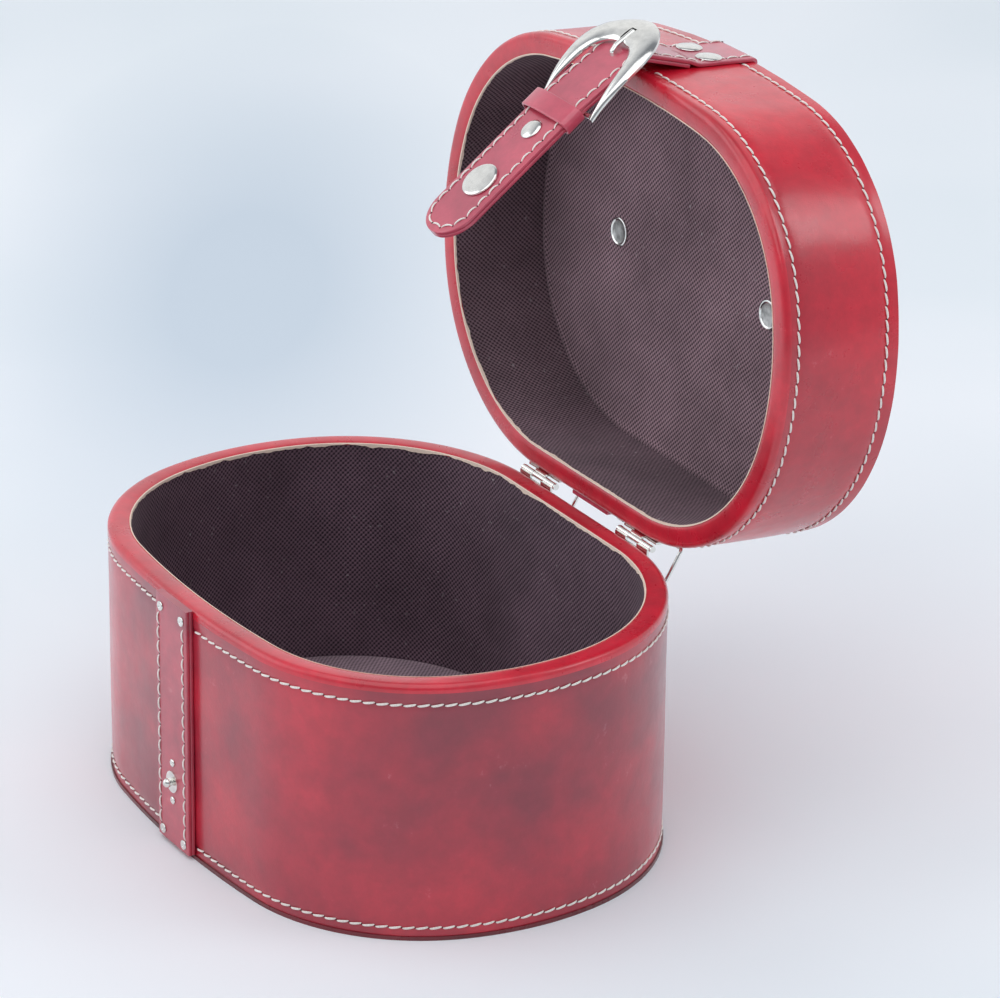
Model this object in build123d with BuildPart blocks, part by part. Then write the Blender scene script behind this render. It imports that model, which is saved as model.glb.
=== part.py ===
"""Oval leather stationery box with a hinged lid, a strap with a snap and buckle, and a wire lid stay.

Millimetres. The origin is the middle of the underside, X to the right, Y to the back (the hinge side), +Z up.
Lid, strap and buckle are drawn on the closed box and then turned about the hinge axis to the open rest pose.
"""

import os
from math import atan2, cos, degrees, hypot, radians, sin, sqrt

from build123d import *

# ---- driving dimensions --------------------------------------------------------------------------

HALF_LENGTH = 124.4  # outer leather, X
HALF_WIDTH = 90.0  # outer leather, Y
END_RADIUS = 110.0  # arc of the two ends
FRONT_CORNER_RADIUS = 78.0
FRONT_RADIUS = 460.0  # slow curve of the front
BACK_CORNER_RADIUS = 84.0  # the back between its corners is straight

BASE_HEIGHT = 105.0
LID_HEIGHT = 52.0
RIM_GAP = 0.6  # between the two rims when shut
OPEN_ANGLE = 94.0  # how far the stay lets the lid open

LEATHER = 1.2  # skin over the board
WALL = 8.9  # leather, board and lining together
LINING = 1.2
RIM_ROUND = 2.4

BOTTOM_COVER = 1.6
BOTTOM_LIP = 0.6  # the bottom cover's cut edge stands proud by this
BOTTOM_BOARD = 4.0
FLOOR_TOP = 9.6  # lined floor above the underside
LID_INSIDE = 43.0  # lid lining above the lid's rim

STRIP_HALF = 12.5  # front strip, and its two layers
STRIP_LAYER = 1.5
NAIL_RADIUS = 2.0
NAIL_HEIGHT = 0.8

HINGE_OFFSET = 2.3  # pin behind the back face
HINGE_MIDDLE = 1.3  # the pair stands a little to the right
HINGE_CENTRE = 35.9
HINGE_LENGTH = 23.4
KNUCKLE_RADIUS = 1.45
PIN_RADIUS = 0.8
LEAF = 0.9
LEAF_HEIGHT = 9.4

STRAP_HALF = 13.2
STRAP_LAYER = 1.6
PRONG_THICK = 1.5
PRONG_WIDTH = 2.6
BAR_RADIUS = 1.0
FRAME_THICK = 2.2

SNAP_HEIGHT = 28.7  # the stud above the underside
SNAP_TIP = 4.2  # how far the stud stands off the front strip
SNAP_BALL = 1.9
SNAP_FLANGE = 0.7
SNAP_FLANGE_RADIUS = 4.4
SNAP_STEM_RADIUS = 1.2
SOCKET_RIM = 1.0

WIRE_RADIUS = 0.8
STAY_LEFT = -19.5
STAY_RIGHT = 53.5

BACK_FACE = HALF_WIDTH
HINGE_Y = BACK_FACE + HINGE_OFFSET
HINGE_Z = BASE_HEIGHT + RIM_GAP / 2
LID_RIM = BASE_HEIGHT + RIM_GAP
LID_TOP = LID_RIM + LID_HEIGHT

CLEAR = 0.15  # running gap between neighbouring knuckles


def open_turn(angle):
    """The location that turns a closed-lid piece about the hinge axis by an opening angle."""
    to_hinge = Location((0, HINGE_Y, HINGE_Z))
    turn = Location((0, 0, 0), (-angle, 0, 0))
    return to_hinge * turn * to_hinge.inverse()


OPEN = open_turn(OPEN_ANGLE)
HERE = Location()
ON_FACE = (Align.CENTER, Align.CENTER, Align.MIN)  # a cylinder that stands on its plane


def save(builder, label, place=HERE):
    """Put a finished piece where it rests, label it and write its STEP file."""
    piece = builder.part.moved(place)
    piece.label = label
    export_step(piece, f"parts/{label}.step")


os.makedirs("parts", exist_ok=True)

# ---- the oval ------------------------------------------------------------------------------------


def toward(start, end):
    """Unit vector from one plan point to another."""
    run = hypot(end[0] - start[0], end[1] - start[1])
    return ((end[0] - start[0]) / run, (end[1] - start[1]) / run)


def crossing(first, first_radius, second, second_radius):
    """The right-hand point at the given distances from two plan points."""
    run = hypot(second[0] - first[0], second[1] - first[1])
    along = (first_radius**2 - second_radius**2 + run**2) / (2 * run)
    across = sqrt(first_radius**2 - along**2)
    ux, uy = toward(first, second)
    one = (first[0] + along * ux - across * uy, first[1] + along * uy + across * ux)
    other = (first[0] + along * ux + across * uy, first[1] + along * uy - across * ux)
    return max(one, other)


END_CENTRE = (HALF_LENGTH - END_RADIUS, 0.0)
FRONT_CENTRE = (0.0, FRONT_RADIUS - HALF_WIDTH)
FRONT_CORNER = crossing(
    END_CENTRE, END_RADIUS - FRONT_CORNER_RADIUS, FRONT_CENTRE, FRONT_RADIUS - FRONT_CORNER_RADIUS
)
BACK_CORNER_Y = HALF_WIDTH - BACK_CORNER_RADIUS
BACK_CORNER = (
    END_CENTRE[0] + sqrt((END_RADIUS - BACK_CORNER_RADIUS) ** 2 - BACK_CORNER_Y**2),
    BACK_CORNER_Y,
)


def on_circle(centre, radius, direction):
    """The point of a circle that lies in a direction from its centre."""
    return (centre[0] + radius * direction[0], centre[1] + radius * direction[1])


def corner_arc(centre, radius, start, end):
    """The short arc about a centre between two of its points, given by their directions."""
    middle = toward((0, 0), (start[0] + end[0], start[1] + end[1]))
    return ThreePointArc(
        on_circle(centre, radius, start), on_circle(centre, radius, middle), on_circle(centre, radius, end)
    )


def oval(inset, mode=Mode.ADD):
    """The box's plan, drawn this far inside the outer leather."""
    to_front = toward(FRONT_CENTRE, FRONT_CORNER)
    to_end_front = toward(END_CENTRE, FRONT_CORNER)
    to_end_back = toward(END_CENTRE, BACK_CORNER)
    front_end = on_circle(FRONT_CENTRE, FRONT_RADIUS - inset, to_front)
    back_end = (BACK_CORNER[0], HALF_WIDTH - inset)
    with BuildLine() as outline:
        ThreePointArc((-front_end[0], front_end[1]), (0, inset - HALF_WIDTH), front_end)
        corner_arc(FRONT_CORNER, FRONT_CORNER_RADIUS - inset, to_front, to_end_front)
        corner_arc(END_CENTRE, END_RADIUS - inset, to_end_front, to_end_back)
        corner_arc(BACK_CORNER, BACK_CORNER_RADIUS - inset, to_end_back, (0, 1))
        mirror(outline.edges()[1:], about=Plane.YZ)
        Line((-back_end[0], back_end[1]), back_end)
    make_face(outline.edges(), mode=mode)


def oval_ring(outer, inner, bottom, top):
    """A wall between two insets of the oval and two heights."""
    with BuildPart() as ring:
        with BuildSketch(Plane.XY.offset(bottom)):
            oval(outer)
            oval(inner, mode=Mode.SUBTRACT)
        extrude(amount=top - bottom)
    return ring


def oval_plate(inset, bottom, top):
    """A solid plate of the oval between two heights."""
    with BuildPart() as plate:
        with BuildSketch(Plane.XY.offset(bottom)):
            oval(inset)
        extrude(amount=top - bottom)
    return plate


# ---- the base ------------------------------------------------------------------------------------

CORE_OUTER = LEATHER
CORE_INNER = WALL - LINING
RIM_UNDER = BASE_HEIGHT - LEATHER

save(oval_plate(-BOTTOM_LIP, 0, BOTTOM_COVER), "base_bottom_cover")
save(oval_plate(CORE_OUTER, BOTTOM_COVER, BOTTOM_COVER + BOTTOM_BOARD), "base_bottom_board")
save(oval_ring(CORE_OUTER, CORE_INNER, BOTTOM_COVER + BOTTOM_BOARD, RIM_UNDER), "base_wall_board")
save(oval_ring(CORE_INNER, WALL, BOTTOM_COVER + BOTTOM_BOARD, RIM_UNDER), "base_wall_lining")
save(oval_plate(WALL, BOTTOM_COVER + BOTTOM_BOARD, FLOOR_TOP), "base_floor_lining")

with BuildPart() as base_leather:
    with BuildSketch(Plane.XY.offset(BOTTOM_COVER)):
        oval(0)
        oval(CORE_OUTER, mode=Mode.SUBTRACT)
    extrude(amount=RIM_UNDER - BOTTOM_COVER)
    with BuildSketch(Plane.XY.offset(RIM_UNDER)):
        oval(0)
        oval(WALL, mode=Mode.SUBTRACT)
    extrude(amount=LEATHER)
    rim_edges = base_leather.faces().sort_by(Axis.Z)[-1].outer_wire().edges()
    fillet(rim_edges, RIM_ROUND)
save(base_leather, "base_leather")

# ---- the strip down the front, its nails and the snap stud ---------------------------------------

STRIP_FACE = -HALF_WIDTH - 2 * STRIP_LAYER


def front_strip(layer):
    """One layer of the strip: a slice of the oval's offset, as high as the base wall."""
    with BuildPart() as strip:
        with BuildSketch(Plane.XY.offset(BOTTOM_COVER + 0.2)):
            oval(-(layer + 1) * STRIP_LAYER)
            oval(-layer * STRIP_LAYER, mode=Mode.SUBTRACT)
            with Locations((0, -HALF_WIDTH)):
                Rectangle(2 * STRIP_HALF, HALF_WIDTH, mode=Mode.INTERSECT)
        extrude(amount=BASE_HEIGHT - BOTTOM_COVER - 0.4)
    return strip


save(front_strip(0), "front_strip_backing")
save(front_strip(1), "front_strip_face")

STRIP_NAIL_SPOTS = [(x, z) for z in (5.2, 99.6) for x in (-8.4, 8.4)]

with BuildPart() as strip_nails:
    for x, z in STRIP_NAIL_SPOTS:
        with Locations(Plane((x, STRIP_FACE, z), z_dir=(0, -1, 0))):
            Cylinder(NAIL_RADIUS, NAIL_HEIGHT, align=ON_FACE)
save(strip_nails, "front_strip_nails")

with BuildPart() as snap_stud:
    with Locations(Plane((0, STRIP_FACE, SNAP_HEIGHT), z_dir=(0, -1, 0))):
        Cylinder(SNAP_FLANGE_RADIUS, SNAP_FLANGE, align=ON_FACE)
        Cylinder(SNAP_STEM_RADIUS, SNAP_TIP - SNAP_BALL, align=ON_FACE)
    with Locations((0, STRIP_FACE - SNAP_TIP + SNAP_BALL, SNAP_HEIGHT)):
        Sphere(SNAP_BALL)
save(snap_stud, "snap_stud")


def heads(spots, normal, radius, height, rounding):
    """Round heads standing on a face, at the given points."""
    with BuildPart() as group:
        for spot in spots:
            with Locations(Plane(spot, z_dir=normal)):
                Cylinder(radius, height, align=ON_FACE)
        top_edges = group.edges().filter_by(GeomType.CIRCLE).group_by(Axis((0, 0, 0), normal))[-1]
        fillet(top_edges, rounding)
    return group


STUD_NAIL_REACH = 8.0  # one nail below the stud and one above it
STUD_NAIL_SPOTS = [(0, STRIP_FACE, SNAP_HEIGHT + side * STUD_NAIL_REACH) for side in (-1, 1)]
stud_nails = heads(STUD_NAIL_SPOTS, (0, -1, 0), radius=1.6, height=0.7, rounding=0.4)
save(stud_nails, "snap_stud_nails")

# ---- the two hinges on the back ------------------------------------------------------------------


def knuckle_spans(centre):
    """The three knuckles of a hinge as (start, end): the middle one belongs to the lid."""
    third = HINGE_LENGTH / 3
    start = centre - HINGE_LENGTH / 2
    return [(start + i * third + CLEAR / 2, start + (i + 1) * third - CLEAR / 2) for i in range(3)]


def along_x(start, end, y, z, radius, mode=Mode.ADD):
    """A cylinder along X."""
    with Locations(Plane((start, y, z), z_dir=(1, 0, 0))):
        Cylinder(radius, end - start, align=ON_FACE, mode=mode)


def block(x_span, y_span, z_span, mode=Mode.ADD):
    """A box given by its two ends on each axis."""
    with Locations((x_span[0], y_span[0], z_span[0])):
        Box(
            x_span[1] - x_span[0],
            y_span[1] - y_span[0],
            z_span[1] - z_span[0],
            align=(Align.MIN, Align.MIN, Align.MIN),
            mode=mode,
        )


KNUCKLE_REACH = KNUCKLE_RADIUS + 0.3  # a leaf stops this far from the other leaf's knuckles
HINGE_CENTRES = (HINGE_MIDDLE - HINGE_CENTRE, HINGE_MIDDLE + HINGE_CENTRE)
KNUCKLE_ROOT = 1.1  # height of the web that joins a knuckle to its leaf
PIN_PLAY = 0.1
PIN_HEAD = 0.7
PIN_HEAD_RADIUS = 1.3


def hinge_leaves(own, side):
    """One body's leaf and knuckles on both hinges; side is +1 above the pin and -1 below it."""
    with BuildPart() as leaves:
        for centre in HINGE_CENTRES:
            left = centre - HINGE_LENGTH / 2
            span = (left + CLEAR, left + HINGE_LENGTH - CLEAR)
            far, near = HINGE_Z + side * LEAF_HEIGHT, HINGE_Z + side * KNUCKLE_REACH
            block(span, (BACK_FACE, BACK_FACE + LEAF), (min(far, near), max(far, near)))
            for index in own:
                start, end = knuckle_spans(centre)[index]
                block((start, end), (BACK_FACE, BACK_FACE + LEAF), (min(far, HINGE_Z), max(far, HINGE_Z)))
                root = HINGE_Z + side * KNUCKLE_ROOT
                block((start, end), (BACK_FACE, HINGE_Y), (min(root, HINGE_Z), max(root, HINGE_Z)))
                along_x(start, end, HINGE_Y, HINGE_Z, KNUCKLE_RADIUS)
        for centre in HINGE_CENTRES:
            start, end = centre - HINGE_LENGTH, centre + HINGE_LENGTH
            along_x(start, end, HINGE_Y, HINGE_Z, PIN_RADIUS + PIN_PLAY, Mode.SUBTRACT)
    return leaves


save(hinge_leaves((0, 2), -1), "hinge_base_leaves")
save(hinge_leaves((1,), 1), "hinge_lid_leaves", OPEN)

with BuildPart() as hinge_pins:
    for centre in HINGE_CENTRES:
        reach = HINGE_LENGTH / 2
        along_x(centre - reach, centre + reach, HINGE_Y, HINGE_Z, PIN_RADIUS)
        for side in (-1, 1):
            end = centre + side * reach
            tip = end + side * PIN_HEAD
            along_x(min(end, tip), max(end, tip), HINGE_Y, HINGE_Z, PIN_HEAD_RADIUS)
save(hinge_pins, "hinge_pins")


HINGE_NAIL_REACH = 6.4  # nails this far above and below the pin
HINGE_NAIL_PITCH = 8.0


def hinge_nails(side):
    """The three nails through each hinge leaf; side is +1 above the pin and -1 below it."""
    spots = []
    for centre in HINGE_CENTRES:
        for step in (-1, 0, 1):
            at = (centre + step * HINGE_NAIL_PITCH, BACK_FACE + LEAF, HINGE_Z + side * HINGE_NAIL_REACH)
            spots.append(at)
    return heads(spots, (0, 1, 0), radius=1.3, height=0.5, rounding=0.3)


save(hinge_nails(-1), "hinge_base_nails")
save(hinge_nails(1), "hinge_lid_nails", OPEN)

# ---- the lid -------------------------------------------------------------------------------------

with BuildPart() as lid_band:
    with BuildSketch(Plane.XY.offset(LID_RIM + LEATHER)):
        oval(0)
        oval(CORE_OUTER, mode=Mode.SUBTRACT)
    extrude(amount=LID_HEIGHT - 2 * LEATHER)
    with BuildSketch(Plane.XY.offset(LID_RIM)):
        oval(0)
        oval(WALL, mode=Mode.SUBTRACT)
    extrude(amount=LEATHER)
    fillet(lid_band.faces().sort_by(Axis.Z)[0].outer_wire().edges(), RIM_ROUND)
save(lid_band, "lid_leather_band", OPEN)

LID_LINED = LID_RIM + LID_INSIDE
LID_BOARD_TOP = LID_TOP - LEATHER
TOP_ROUND = 0.9
LINING_PLAY = 0.05  # the top's lining clears the wall's board by this
with BuildPart() as lid_top_leather:
    with BuildSketch(Plane.XY.offset(LID_BOARD_TOP)):
        oval(0)
    extrude(amount=LEATHER)
    fillet(lid_top_leather.faces().sort_by(Axis.Z)[-1].outer_wire().edges(), TOP_ROUND)
save(lid_top_leather, "lid_top_leather", OPEN)

save(oval_ring(CORE_OUTER, CORE_INNER, LID_RIM + LEATHER, LID_LINED + LINING), "lid_wall_board", OPEN)
save(oval_plate(CORE_OUTER, LID_LINED + LINING, LID_BOARD_TOP), "lid_top_board", OPEN)
save(oval_ring(CORE_INNER, WALL, LID_RIM + LEATHER, LID_LINED), "lid_wall_lining", OPEN)
save(oval_plate(CORE_INNER + LINING_PLAY, LID_LINED, LID_LINED + LINING), "lid_top_lining", OPEN)

# ---- the carrying handle on the lid --------------------------------------------------------------

HANDLE_MIDDLE = -2.8
HANDLE_REACH = 54.0  # rivets to either side of the handle's middle
HANDLE_FOOT = 11.0
HANDLE_RISE = 19.0
HANDLE_THICK = 3.0
HANDLE_HALF_WIDTH = 11.0
HANDLE_X = (HANDLE_MIDDLE - HANDLE_REACH, HANDLE_MIDDLE + HANDLE_REACH)

with BuildPart() as handle:
    with BuildSketch(Plane.XZ):
        with BuildLine():
            spring = HANDLE_REACH - HANDLE_FOOT + 2.0
            Polyline(
                (HANDLE_MIDDLE - HANDLE_REACH - HANDLE_FOOT, LID_TOP + HANDLE_THICK / 2),
                (HANDLE_MIDDLE - spring, LID_TOP + HANDLE_THICK / 2),
            )
            ThreePointArc(
                (HANDLE_MIDDLE - spring, LID_TOP + HANDLE_THICK / 2),
                (HANDLE_MIDDLE, LID_TOP + HANDLE_RISE),
                (HANDLE_MIDDLE + spring, LID_TOP + HANDLE_THICK / 2),
            )
            Polyline(
                (HANDLE_MIDDLE + spring, LID_TOP + HANDLE_THICK / 2),
                (HANDLE_MIDDLE + HANDLE_REACH + HANDLE_FOOT, LID_TOP + HANDLE_THICK / 2),
            )
            offset(amount=HANDLE_THICK / 2, side=Side.BOTH)
        make_face()
    extrude(amount=HANDLE_HALF_WIDTH, both=True)
    block((-200, 200), (-50, 50), (LID_TOP - 10, LID_TOP), Mode.SUBTRACT)
save(handle, "handle", OPEN)
RIVET_SPOTS = [(x, 0, LID_TOP + HANDLE_THICK) for x in HANDLE_X]
WASHER_SPOTS = [(x, 0, LID_LINED) for x in HANDLE_X]
save(heads(RIVET_SPOTS, (0, 0, 1), radius=5.3, height=1.3, rounding=0.9), "handle_rivets", OPEN)
save(heads(WASHER_SPOTS, (0, 0, -1), radius=6.0, height=0.9, rounding=0.4), "handle_washers", OPEN)

# ---- the strap: a tail fixed to the lid, the piece through the buckle, and the end with the snap -
# Points are (Y, Z) on the closed box. A strap leans in towards the box by an angle from straight down.


def out_of(lean):
    """Outward normal of a strap with this lean."""
    return (-cos(radians(lean)), -sin(radians(lean)))


def down_of(lean):
    """Direction down a strap with this lean."""
    return (sin(radians(lean)), -cos(radians(lean)))


def shifted(point, direction, distance):
    """A point moved a distance along a direction."""
    return (point[0] + direction[0] * distance, point[1] + direction[1] * distance)


def strap_plane(point, lean, lift=0.0):
    """Sketch plane on the strap: local x is X, local y is up the strap, and the normal is out of its face."""
    origin = shifted(point, out_of(lean), lift)
    return Plane((0, *origin), x_dir=(1, 0, 0), z_dir=(0, *out_of(lean)))


FOLD = (-HALF_WIDTH - 6.2, LID_RIM)  # the strap folds here, under the bow of the buckle
MID_LEAN = 36.2
MID_LENGTH = 31.3
BAR_DEPTH = 2.75  # the bar's centre behind the middle of the strap
FRAME_LEAN = 41.0
END_LEAN = 41.0

SWING = shifted(FOLD, down_of(MID_LEAN), MID_LENGTH)
BAR = shifted(SWING, out_of(MID_LEAN), -BAR_DEPTH)

TAIL_STEP_Z = LID_RIM + 22.0  # below this the tail has its second layer and stands off the band
TAIL_LEAN = -degrees(atan2(-HALF_WIDTH - STRAP_LAYER - FOLD[0], TAIL_STEP_Z - FOLD[1]))
FOLD_RELIEF = 2.45  # the tail is cut back this far round the fold
RAMP = 4.0

band = -HALF_WIDTH
tail_step = (band - STRAP_LAYER, TAIL_STEP_Z)
fold_out = shifted(FOLD, out_of(TAIL_LEAN), STRAP_LAYER)
fold_in = shifted(FOLD, out_of(TAIL_LEAN), -STRAP_LAYER)


def over_edge(face, side):
    """The turn of the strap over the lid's top edge, from the lid's face at this Y to its top."""
    out = face + side * STRAP_LAYER
    return [
        (face, LID_TOP + STRAP_LAYER),
        (face + side * 0.35, LID_TOP + STRAP_LAYER),
        (face + side * 1.15, LID_TOP + 1.15),
        (out, LID_TOP + 0.35),
    ]


def tail_layer(points):
    """A layer of the tail from its side profile, clear of the fold."""
    with BuildPart() as layer:
        with BuildSketch(Plane.YZ):
            with BuildLine():
                Polyline(*points, close=True)
            make_face()
        extrude(amount=STRAP_HALF, both=True)
        along_x(-20, 20, *FOLD, FOLD_RELIEF, Mode.SUBTRACT)
    return layer


strap_tail = tail_layer(
    [
        (band, TAIL_STEP_Z + RAMP),
        tail_step,
        FOLD,
        fold_out,
        (tail_step[0] - STRAP_LAYER, TAIL_STEP_Z),
        (band - STRAP_LAYER, TAIL_STEP_Z + RAMP + 1.0),
        *reversed(over_edge(band, -1)),
    ]
)
save(strap_tail, "strap_tail", OPEN)
save(tail_layer([(band, TAIL_STEP_Z), fold_in, FOLD, tail_step]), "strap_tail_backing", OPEN)

with BuildPart() as strap_crown:
    block((-STRAP_HALF, STRAP_HALF), (band, BACK_FACE), (LID_TOP, LID_TOP + STRAP_LAYER))
save(strap_crown, "strap_crown", OPEN)

TAIL_RIVET_Z = LID_RIM + 34.5
TAIL_RIVET_SPOTS = [(x, band - STRAP_LAYER, TAIL_RIVET_Z) for x in (-7.0, 7.0)]
tail_rivets = heads(TAIL_RIVET_SPOTS, (0, -1, 0), radius=5.3, height=1.2, rounding=0.8)
save(tail_rivets, "strap_tail_rivets", OPEN)

PRONG_HOLE = 5.4  # below the fold
PRONG_HOLE_LENGTH = 6.0
PRONG_HOLE_WIDTH = 3.4


def mid_layer(low, high):
    """A layer of the strap through the buckle, with a round nose at the fold and the prong's hole."""
    plane = strap_plane(FOLD, MID_LEAN, low)
    with BuildPart() as layer:
        with BuildSketch(plane):
            with Locations((0, -MID_LENGTH / 2 + 0.2)):
                Rectangle(2 * STRAP_HALF, MID_LENGTH - 0.4)
            with Locations((0, -PRONG_HOLE)):
                SlotOverall(PRONG_HOLE_LENGTH, PRONG_HOLE_WIDTH, rotation=90, mode=Mode.SUBTRACT)
        extrude(amount=high - low)
        with BuildPart(mode=Mode.PRIVATE) as nose:
            along_x(-STRAP_HALF, STRAP_HALF, *FOLD, STRAP_LAYER)
            with BuildSketch(plane):
                Rectangle(40, 10)
            extrude(amount=high - low, mode=Mode.INTERSECT)
        add(nose.part)
    return layer


save(mid_layer(0, STRAP_LAYER), "strap_mid", OPEN)
save(mid_layer(-STRAP_LAYER, 0), "strap_mid_backing", OPEN)

# ---- the buckle ----------------------------------------------------------------------------------

BOW_APEX = 46.2  # from the bar to the outer edge of the bow
BOW_INNER = 31.6
FRAME_CURVE = 65.0
ARM_OUTER = 18.6
ARM_INNER = 16.2
BOW_OUTLINE = [(0, BOW_APEX), (13.4, 40.4), (21.2, 27), (ARM_OUTER, 0)]
BOW_OPENING = [(ARM_INNER, 0), (14.6, 17), (9.6, 28.2), (0, BOW_INNER)]
NOTCH_MIDDLE = 35.0  # the prong's tip lies in a notch of the bow
NOTCH_WIDTH = 3.0
NOTCH_LENGTH = 9.4

frame_plane = strap_plane(BAR, FRAME_LEAN)
curve_centre = -sqrt(FRAME_CURVE**2 - BOW_APEX**2 / 4)

with BuildPart() as buckle_frame:
    with BuildSketch(frame_plane.offset(-4)):
        with BuildLine():
            Spline(*BOW_OUTLINE, tangents=((1, 0), (-0.12, -1)))
            ThreePointArc((ARM_OUTER, 0), ((ARM_OUTER + ARM_INNER) / 2, -1.2), (ARM_INNER, 0))
            Spline(*BOW_OPENING, tangents=((0, 1), (-1, 0)))
            mirror(about=Plane.YZ)
        make_face()
        with Locations((0, NOTCH_MIDDLE)):
            Rectangle(NOTCH_WIDTH, NOTCH_LENGTH, mode=Mode.SUBTRACT)
    extrude(amount=14)
    with BuildSketch(Plane((0, *BAR), x_dir=(0, *out_of(FRAME_LEAN)), z_dir=(1, 0, 0))):
        with Locations((curve_centre, -BOW_APEX / 2)):  # this plane's local y runs down the frame
            Circle(FRAME_CURVE + FRAME_THICK / 2)
            Circle(FRAME_CURVE - FRAME_THICK / 2, mode=Mode.SUBTRACT)
    extrude(amount=30, both=True, mode=Mode.INTERSECT)
save(buckle_frame, "buckle_frame", OPEN)

with BuildPart() as buckle_bar:
    along_x(-ARM_INNER, ARM_INNER, *BAR, BAR_RADIUS)
save(buckle_bar, "buckle_bar", OPEN)

prong_points = [(1.35, 0.1), (24.2, -1.9), (26.6, 3.5), (29.6, 4.2), (38.4, 3.1)]
prong_path = []
for along, lift in prong_points:
    prong_path.append(shifted(shifted(BAR, down_of(FRAME_LEAN), -along), out_of(FRAME_LEAN), lift))
with BuildPart() as buckle_prong:
    with BuildLine() as prong_line:
        FilletPolyline(*[(0, y, z) for y, z in prong_path], radius=1.1)
    with BuildSketch(Plane(origin=prong_line.line @ 0, x_dir=(1, 0, 0), z_dir=prong_line.line % 0)):
        Ellipse(PRONG_WIDTH / 2, PRONG_THICK / 2)
    sweep()
save(buckle_prong, "buckle_prong", OPEN)

# ---- the end of the strap ------------------------------------------------------------------------

END_LENGTH = 72.7
SNAP_ALONG = 45.5
RIVET_ALONG = 17.5
RIVET_RADIUS = 4.6
RIVET_HEIGHT = 1.2
RIVET_TAIL_RADIUS = 3.6
RIVET_TAIL = 0.6
SNAP_HOLE = SNAP_BALL + 0.3
SNAP_CAP_RADIUS = 7.85
SNAP_CAP_HEIGHT = 1.4
SNAP_SOCKET_RADIUS = 6.0
KEEPER_SPAN = (1.6, 10.6)
KEEPER_OUTSIDE = (31.4, 6.6)
KEEPER_INSIDE = (28.6, 4.1)


def end_plane(along, lift):
    """Plane on the strap's end, a distance down from the swing line and out from its middle."""
    return strap_plane(shifted(SWING, down_of(END_LEAN), along), END_LEAN, lift)


def end_layer(low, high):
    """A layer of the strap's end, with its round tip and the hole for the snap."""
    straight = END_LENGTH - STRAP_HALF
    with BuildPart() as layer:
        with BuildSketch(end_plane(0, low)):
            with BuildLine():
                Polyline((0, -0.2), (STRAP_HALF, -0.2), (STRAP_HALF, -straight))
                RadiusArc((STRAP_HALF, -straight), (0, -END_LENGTH), STRAP_HALF)
                mirror(about=Plane.YZ)
            make_face()
            with Locations((0, -SNAP_ALONG)):
                Circle(SNAP_HOLE, mode=Mode.SUBTRACT)
        extrude(amount=high - low)
    return layer


save(end_layer(0, STRAP_LAYER), "strap_end", OPEN)
save(end_layer(-STRAP_LAYER, 0), "strap_end_backing", OPEN)

with BuildPart() as small_rivet:
    with Locations(end_plane(RIVET_ALONG, STRAP_LAYER)):
        Cylinder(RIVET_RADIUS, RIVET_HEIGHT, align=ON_FACE)
    with Locations(end_plane(RIVET_ALONG, -STRAP_LAYER)):
        Cylinder(RIVET_TAIL_RADIUS, RIVET_TAIL, align=(Align.CENTER, Align.CENTER, Align.MAX))
save(small_rivet, "strap_small_rivet", OPEN)

with BuildPart() as snap_cap:
    with Locations(end_plane(SNAP_ALONG, STRAP_LAYER)):
        Cylinder(SNAP_CAP_RADIUS, SNAP_CAP_HEIGHT, align=ON_FACE)
    rim = snap_cap.edges().filter_by(GeomType.CIRCLE).group_by(Axis((0, 0, 0), (0, *out_of(END_LEAN))))[-1]
    fillet(rim, 0.9)
save(snap_cap, "snap_cap", OPEN)

with BuildPart() as snap_socket:
    with BuildSketch(end_plane(SNAP_ALONG, -STRAP_LAYER)):
        Circle(SNAP_SOCKET_RADIUS)
        Circle(SNAP_HOLE, mode=Mode.SUBTRACT)
    extrude(amount=-SOCKET_RIM)
save(snap_socket, "snap_socket", OPEN)

with BuildPart() as keeper:
    keeper_start = end_plane(KEEPER_SPAN[0], 0).origin
    with BuildSketch(Plane(keeper_start, x_dir=(1, 0, 0), z_dir=(0, *down_of(END_LEAN)))):
        RectangleRounded(*KEEPER_OUTSIDE, 1.4)
        RectangleRounded(*KEEPER_INSIDE, 0.5, mode=Mode.SUBTRACT)
    extrude(amount=KEEPER_SPAN[1] - KEEPER_SPAN[0])
save(keeper, "keeper_loop", OPEN)

# ---- the wire lid stay behind the right hinge ----------------------------------------------------

STAY_TOP = (HINGE_Y - 0.2, HINGE_Z + 11.0)  # its top bar on the closed lid
STAY_LENGTH = 23.8
STAY_LEAN_OPEN = 30.9  # from upright, with the lid open

with BuildPart() as stay_wire:
    with BuildLine() as stay_line:
        FilletPolyline(
            (STAY_LEFT, 0, 0),
            (STAY_RIGHT, 0, 0),
            (STAY_RIGHT, 0, -STAY_LENGTH),
            (STAY_LEFT, 0, -STAY_LENGTH),
            radius=1.6,
            close=True,
        )
    with BuildSketch(Plane(origin=stay_line.line @ 0, z_dir=stay_line.line % 0)):
        Circle(WIRE_RADIUS)
    sweep()
stay_top_open = (OPEN * Location((0, *STAY_TOP))).position
save(stay_wire, "stay_wire", Location(stay_top_open, (-STAY_LEAN_OPEN, 0, 0)))

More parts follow.
